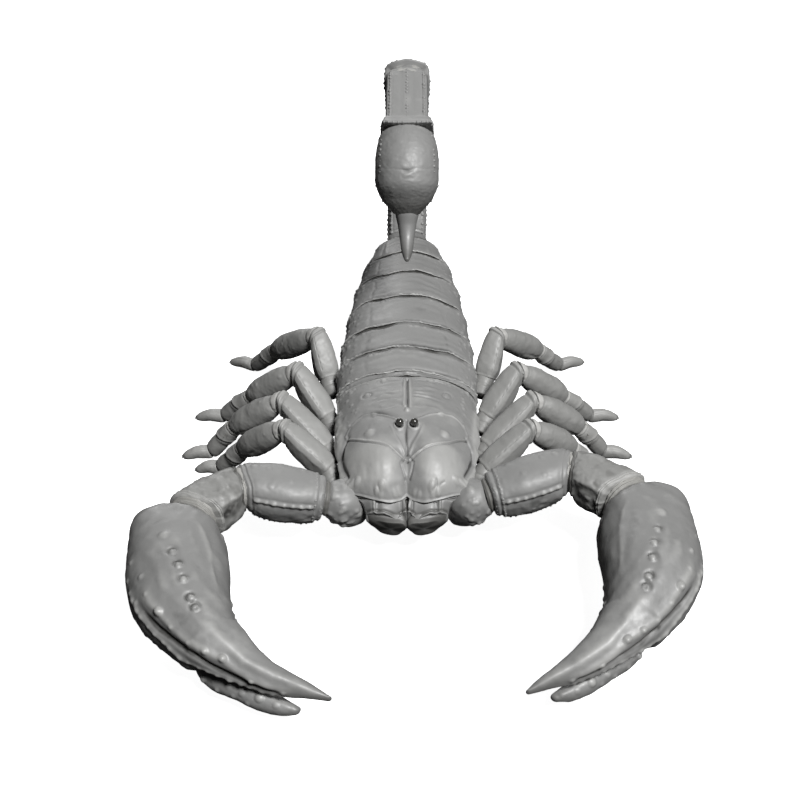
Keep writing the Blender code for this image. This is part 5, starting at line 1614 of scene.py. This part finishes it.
def make_belly(sizes):
    dress("flank_membrane", [flank_membrane(), body_core()], "joint_membrane", "belly")
    dress("leg_bases", [leg_bases(), mouth()], "belly_chitin", "belly", "coxae")
    for number in range(len(STERNITE_EDGES) - 1):
        dress(f"belly_plate_{number + 3}", [sternite(number)], "belly_chitin", "belly",
              f"sternite_{number + 3}")
    tree = tooth_tree()
    for side in SIDES:
        dress(f"comb_bar_{side}", [comb_bar(side)], "belly_chitin", "belly", f"comb_{side}")
        edge = mirrored(np.linspace((1.25, 3.45, 3.5), (6.2, 6.85, 3.5), 12), side)
        grow(f"comb_teeth_{side}", lines_mesh("comb_edge", [edge]), tree, "belly_chitin", "belly", 5,
             Spacing=sizes.tooth_spacing, Radius=COMB_TOOTH_RADIUS, Length=COMB_TOOTH_LENGTH,
             Angle=SIDES[side] * math.radians(COMB_TURN))


def make_jaws():
    for side in SIDES:
        dress(f"jaw_{side}", [chelicera(side)], "claw_chitin", "claw", f"chelicera_{side}")
        dress(f"jaw_pincer_{side}", [chelicera_fingers(side)], "claw_chitin", "claw",
              f"chelicera_fingers_{side}")


def make_legs(sizes):
    tree = bristle_tree()
    for number, side in itertools.product(range(len(LEG_JOINTS)), SIDES):
        name = f"leg{number + 1}"
        upper, lower = leg_femur(number, side), leg_foot(number, side)
        dress(f"{name}_thigh_{side}", upper, "limb_chitin", "limb", f"{name}_femur_{side}")
        dress(f"{name}_shin_{side}", lower, "limb_chitin", "limb", f"{name}_foot_{side}")
        patch = patch_mesh("shin_patch", lower[:1], lambda skin, points: (
            (skin.normal[..., 2] < 0.3) & (skin.t > 0.45) & (points[..., 2] > GROUND + 0.5)))
        grow(f"{name}_bristles_{side}", patch, tree, "bristle_keratin", "limb", 10 + number,
             Per_square_metre=sizes.bristles, Length=sizes.bristle_length, Radius=BRISTLE_RADIUS)


def make_arms(sizes):
    tree = bead_tree()
    for side in SIDES:
        dress(f"shoulder_{side}", [trochanter(side)], "plate_chitin", "shell", f"trochanter_{side}")
        upper, low_keel = arm_femur(side)
        dress(f"upper_arm_{side}", [upper], "plate_chitin", "shell", f"arm_femur_{side}")
        dress(f"forearm_{side}", [arm_patella(side)], "limb_chitin", "limb", f"arm_patella_{side}")
        dress(f"arm_membranes_{side}", arm_sleeves(side), "joint_membrane", "limb")
        rim = upper.surface() - 0.1 * upper.normal
        rings = [rim[int(t * (len(rim) - 1))][::4] for t in (0.018, 0.115)]
        offsets = [ring - ring.mean(0) for ring in rings]
        front = [ring[np.argsort(np.arctan2(away[:, 2], -away[:, 1]))] for ring, away in zip(rings, offsets)]
        lines = [*front, surface_line(upper, low_keel, 0.12, 0.95)]
        grow(f"arm_granules_{side}", lines_mesh("arm_lines", lines), tree, "plate_chitin", "shell", 31,
             Spacing=sizes.granule_spacing, Radius=sizes.granule_radius * 0.8, Unevenness=0.3)


def surface_line(skin, turn, first, last, count=60, sink=0.08):
    """Places just under a raised skin along one angle."""
    surface = skin.base + skin.normal * (skin.lift - sink)[..., None]
    i = np.rint(np.linspace(first, last, count) * (len(surface) - 1)).astype(int)
    j = int(round(turn % 360 / 360 * surface.shape[1] - 0.5)) % surface.shape[1]
    return surface[i, j]


def make_claws():
    for side in SIDES:
        dress(f"claw_{side}", [hand(side)], "claw_chitin", "claw", f"hand_{side}")
        dress(f"claw_finger_{side}", [finger(side)], "claw_chitin", "claw", f"finger_{side}")


def make_tail(sizes):
    tree = bead_tree()
    joints, axes, _ = tail_planes()
    for number in range(1, len(TAIL_JOINTS)):
        skin, keels = tail_segment(number)
        dress(f"tail_ring_{number}", [skin], "plate_chitin", "shell", f"tail_{number}")
        lines = [surface_line(skin, keel, 0.13, 0.86) for keel in keels]
        row = int((0.99 if number == 5 else 0.965) * (len(skin.t) - 1))
        lines.append((skin.surface() - 0.1 * skin.normal)[row])
        grow(f"tail_granules_{number}", lines_mesh("tail_lines", lines), tree, "plate_chitin", "shell",
             40 + number, Spacing=sizes.granule_spacing, Radius=sizes.granule_radius, Unevenness=0.35)
    collars = [sleeve(joints[k + 1], axes[k], axes[min(k + 1, 4)], TAIL_HALF_WIDTH[k] * 0.9, 1.1, 2,
                      TAIL_HALF_DEPTH[k] / TAIL_HALF_WIDTH[k], 2.7) for k in range(5)]
    dress("tail_membranes", collars, "joint_membrane", "shell")
    bulb = vesicle()
    dress("poison_bulb", [bulb], "plate_chitin", "shell", "vesicle")
    rows = [surface_line(bulb, turn, 0.06, 0.52) for turn in (327, 213, 20, 160)]
    rows += [surface_line(bulb, turn, 0.6, 0.9) for turn in (350, 190, 20, 160)]
    grow("bulb_granules", lines_mesh("bulb_lines", rows), tree, "plate_chitin", "shell", 51,
         Spacing=sizes.granule_spacing * 1.15, Radius=sizes.granule_radius * 0.95, Unevenness=0.4)
    dress("sting_point", [sting()], "sting_chitin", "sting", "sting")


# ---------------------------------------------------------------- stage


def make_stage(sizes):
    """A white paper floor, a soft key light, a weaker back light and the camera."""
    scene = bpy.context.scene
    scene.view_settings.view_transform = "Standard"
    bpy.ops.mesh.primitive_circle_add(vertices=96, radius=FLOOR_RADIUS, fill_type="NGON")
    floor = bpy.context.object
    floor.name = "paper_floor"
    paper = floor_paper()
    quiet_floor(paper, FLOOR_GLOW, FLOOR_BOUNCE)
    floor.data.materials.append(paper)
    floor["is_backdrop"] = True
    world = bpy.data.worlds.new("studio_white")
    world.use_nodes = True
    tree = world.node_tree
    tree.nodes.clear()
    seen = add(tree, "ShaderNodeLightPath").outputs["Is Camera Ray"]
    dim = add(tree, "ShaderNodeBackground", {"Color": (1, 1, 1, 1), "Strength": sizes.fill})
    white = add(tree, "ShaderNodeBackground", {"Color": (1, 1, 1, 1), "Strength": 1.0})
    both = add(tree, "ShaderNodeMixShader", {0: seen, 1: dim.outputs[0], 2: white.outputs[0]})
    add(tree, "ShaderNodeOutputWorld", {"Surface": both.outputs[0]})
    scene.world = world
    low, high = (np.array(corner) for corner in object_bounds())
    middle = (low + high) / 2
    for name, (azimuth, elevation, size, share) in LIGHTS.items():
        turn, tilt = math.radians(azimuth), math.radians(elevation)
        away = np.array((math.sin(turn) * math.cos(tilt), -math.cos(turn) * math.cos(tilt), math.sin(tilt)))
        lamp = bpy.data.lights.new(name, "AREA")
        lamp.energy = sizes.key_power * share
        lamp.size = size
        placed = bpy.data.objects.new(name, lamp)
        placed.location = middle + away * LIGHT_DISTANCE
        placed.rotation_euler = (math.pi / 2 - tilt, 0.0, turn)
        scene.collection.objects.link(placed)
    camera = bpy.data.objects.new("camera", bpy.data.cameras.new("camera"))
    tilt = math.radians(CAMERA_ELEVATION)
    away = np.array((0.0, -math.cos(tilt), math.sin(tilt))) * CAMERA_DISTANCE
    camera.location = (np.array(CAMERA_TARGET) + away + shift()) * MM
    camera.rotation_euler = (math.pi / 2 - tilt, 0.0, 0.0)
    camera.data.lens = sizes.lens
    camera.data.sensor_width = SENSOR_WIDTH
    camera.data.shift_x = CAMERA_SHIFT
    camera.data.clip_start, camera.data.clip_end = CAMERA_RANGE
    camera.data.dof.use_dof = False
    scene.collection.objects.link(camera)
    scene.camera = camera


# ---------------------------------------------------------------- add-on


def colour_property(title, code, what):
    return FloatVectorProperty(name=title, description=what, default=linear(code)[:3], size=3, min=0.0,
                               max=1.0, subtype="COLOR")


class ScorpionColours(bpy.types.PropertyGroup):
    plate: colour_property("Plates", "878786", "Back plates, shield and tail")
    limb: colour_property("Limbs", "8f8f8d", "Legs and forearms")
    claw: colour_property("Claws", "828281", "Claws and jaws")
    belly: colour_property("Belly", "9a9995", "Belly plates and combs")
    membrane: colour_property("Membrane", "c2c1be", "Soft skin at the joints")
    # painted shade: the colour that the bottoms of grooves and pits are darkened towards
    hollow_shade: colour_property("Hollows", "3a3a39", "Bottoms of grooves and pits")
    # painted highlight: the colour that the tops of ridges and granules are lightened towards
    crest_highlight: colour_property("Crests", "a0a09e", "Worn tops of ridges and granules")
    # also the colour that painted shade in grooves, slits and gaps darkens towards
    tip: colour_property("Tips", "4e4d4a", "Ends of the sting, claws and hooks")


class ScorpionSizes(bpy.types.PropertyGroup):
    granule_radius: FloatProperty(name="Granule radius", description="Size of the beads on keels",
                                  default=0.00019, min=0.0001, max=0.0005, unit="LENGTH", precision=5)
    granule_spacing: FloatProperty(name="Granule spacing", description="Distance between beads on keels",
                                   default=0.0006, min=0.0003, max=0.003, unit="LENGTH", precision=5)
    tooth_spacing: FloatProperty(name="Comb tooth spacing", description="Distance between comb teeth",
                                 default=0.0004, min=0.0003, max=0.001, unit="LENGTH", precision=5)
    bristles: FloatProperty(name="Bristles", description="Bristles for each square metre of skin",
                            default=300000.0, min=1000.0, max=2000000.0)
    bristle_length: FloatProperty(name="Bristle length", description="Length of the longest bristles",
                                  default=0.0007, min=0.0002, max=0.002, unit="LENGTH", precision=5)
    fill: FloatProperty(name="Fill light", description="Strength of the even light from all round",
                        default=0.01, min=0.0, max=2.0)
    key_power: FloatProperty(name="Key light", description="Power of the main light", default=19.0, min=0.0,
                             max=200.0, unit="POWER")
    lens: FloatProperty(name="Lens", description="Focal length of the camera", default=66.24, min=20.0,
                        max=200.0, subtype="DISTANCE_CAMERA")


class SCORPION_OT_shield(bpy.types.Operator):
    """Make the head shield and the eyes"""
    bl_idname = "scorpion.shield"
    bl_label = "Head shield and eyes"

    def execute(self, context):
        make_shield()
        return {"FINISHED"}


class SCORPION_OT_back_plates(bpy.types.Operator):
    """Make the seven back plates"""
    bl_idname = "scorpion.back_plates"
    bl_label = "Back plates"

    def execute(self, context):
        make_back_plates()
        return {"FINISHED"}


class SCORPION_OT_belly(bpy.types.Operator):
    """Make the belly plates, leg bases, side membrane and combs"""
    bl_idname = "scorpion.belly"
    bl_label = "Belly and combs"

    def execute(self, context):
        make_belly(context.scene.scorpion_sizes)
        return {"FINISHED"}


class SCORPION_OT_jaws(bpy.types.Operator):
    """Make the two jaws"""
    bl_idname = "scorpion.jaws"
    bl_label = "Jaws"

    def execute(self, context):
        make_jaws()
        return {"FINISHED"}


class SCORPION_OT_legs(bpy.types.Operator):
    """Make the eight legs and their bristles"""
    bl_idname = "scorpion.legs"
    bl_label = "Legs"

    def execute(self, context):
        make_legs(context.scene.scorpion_sizes)
        return {"FINISHED"}


class SCORPION_OT_arms(bpy.types.Operator):
    """Make the two arms up to the wrists"""
    bl_idname = "scorpion.arms"
    bl_label = "Arms"

    def execute(self, context):
        make_arms(context.scene.scorpion_sizes)
        return {"FINISHED"}


class SCORPION_OT_claws(bpy.types.Operator):
    """Make the two claws and their movable fingers"""
    bl_idname = "scorpion.claws"
    bl_label = "Claws"

    def execute(self, context):
        make_claws()
        return {"FINISHED"}


class SCORPION_OT_tail(bpy.types.Operator):
    """Make the tail rings, poison bulb and sting"""
    bl_idname = "scorpion.tail"
    bl_label = "Tail and sting"

    def execute(self, context):
        make_tail(context.scene.scorpion_sizes)
        return {"FINISHED"}


class SCORPION_OT_stage(bpy.types.Operator):
    """Make the floor, lights and camera"""
    bl_idname = "scorpion.stage"
    bl_label = "Floor, lights and camera"

    def execute(self, context):
        make_stage(context.scene.scorpion_sizes)
        return {"FINISHED"}


OPERATORS = (SCORPION_OT_shield, SCORPION_OT_back_plates, SCORPION_OT_belly, SCORPION_OT_jaws,
             SCORPION_OT_legs, SCORPION_OT_arms, SCORPION_OT_claws, SCORPION_OT_tail, SCORPION_OT_stage)


class SCORPION_PT_panel(bpy.types.Panel):
    """Buttons for each group of pieces, with the sizes and colours they read"""
    bl_label = "Scorpion"
    bl_idname = "SCORPION_PT_panel"
    bl_space_type = "VIEW_3D"
    bl_region_type = "UI"
    bl_category = "Scorpion"

    def draw(self, context):
        for group in (context.scene.scorpion_sizes, context.scene.scorpion_colours):
            for name in group.__annotations__:
                self.layout.prop(group, name)
        for operator in OPERATORS:
            self.layout.operator(operator.bl_idname)


CLASSES = (ScorpionColours, ScorpionSizes, *OPERATORS, SCORPION_PT_panel)


def register():
    for item in CLASSES:
        bpy.utils.register_class(item)
    bpy.types.Scene.scorpion_colours = PointerProperty(type=ScorpionColours)
    bpy.types.Scene.scorpion_sizes = PointerProperty(type=ScorpionSizes)


def unregister():
    del bpy.types.Scene.scorpion_sizes
    del bpy.types.Scene.scorpion_colours
    for item in reversed(CLASSES):
        bpy.utils.unregister_class(item)


def main():
    register()
    for operator in OPERATORS:
        group, name = operator.bl_idname.split(".")
        getattr(getattr(bpy.ops, group), name)()


if __name__ == "__main__":
    main()
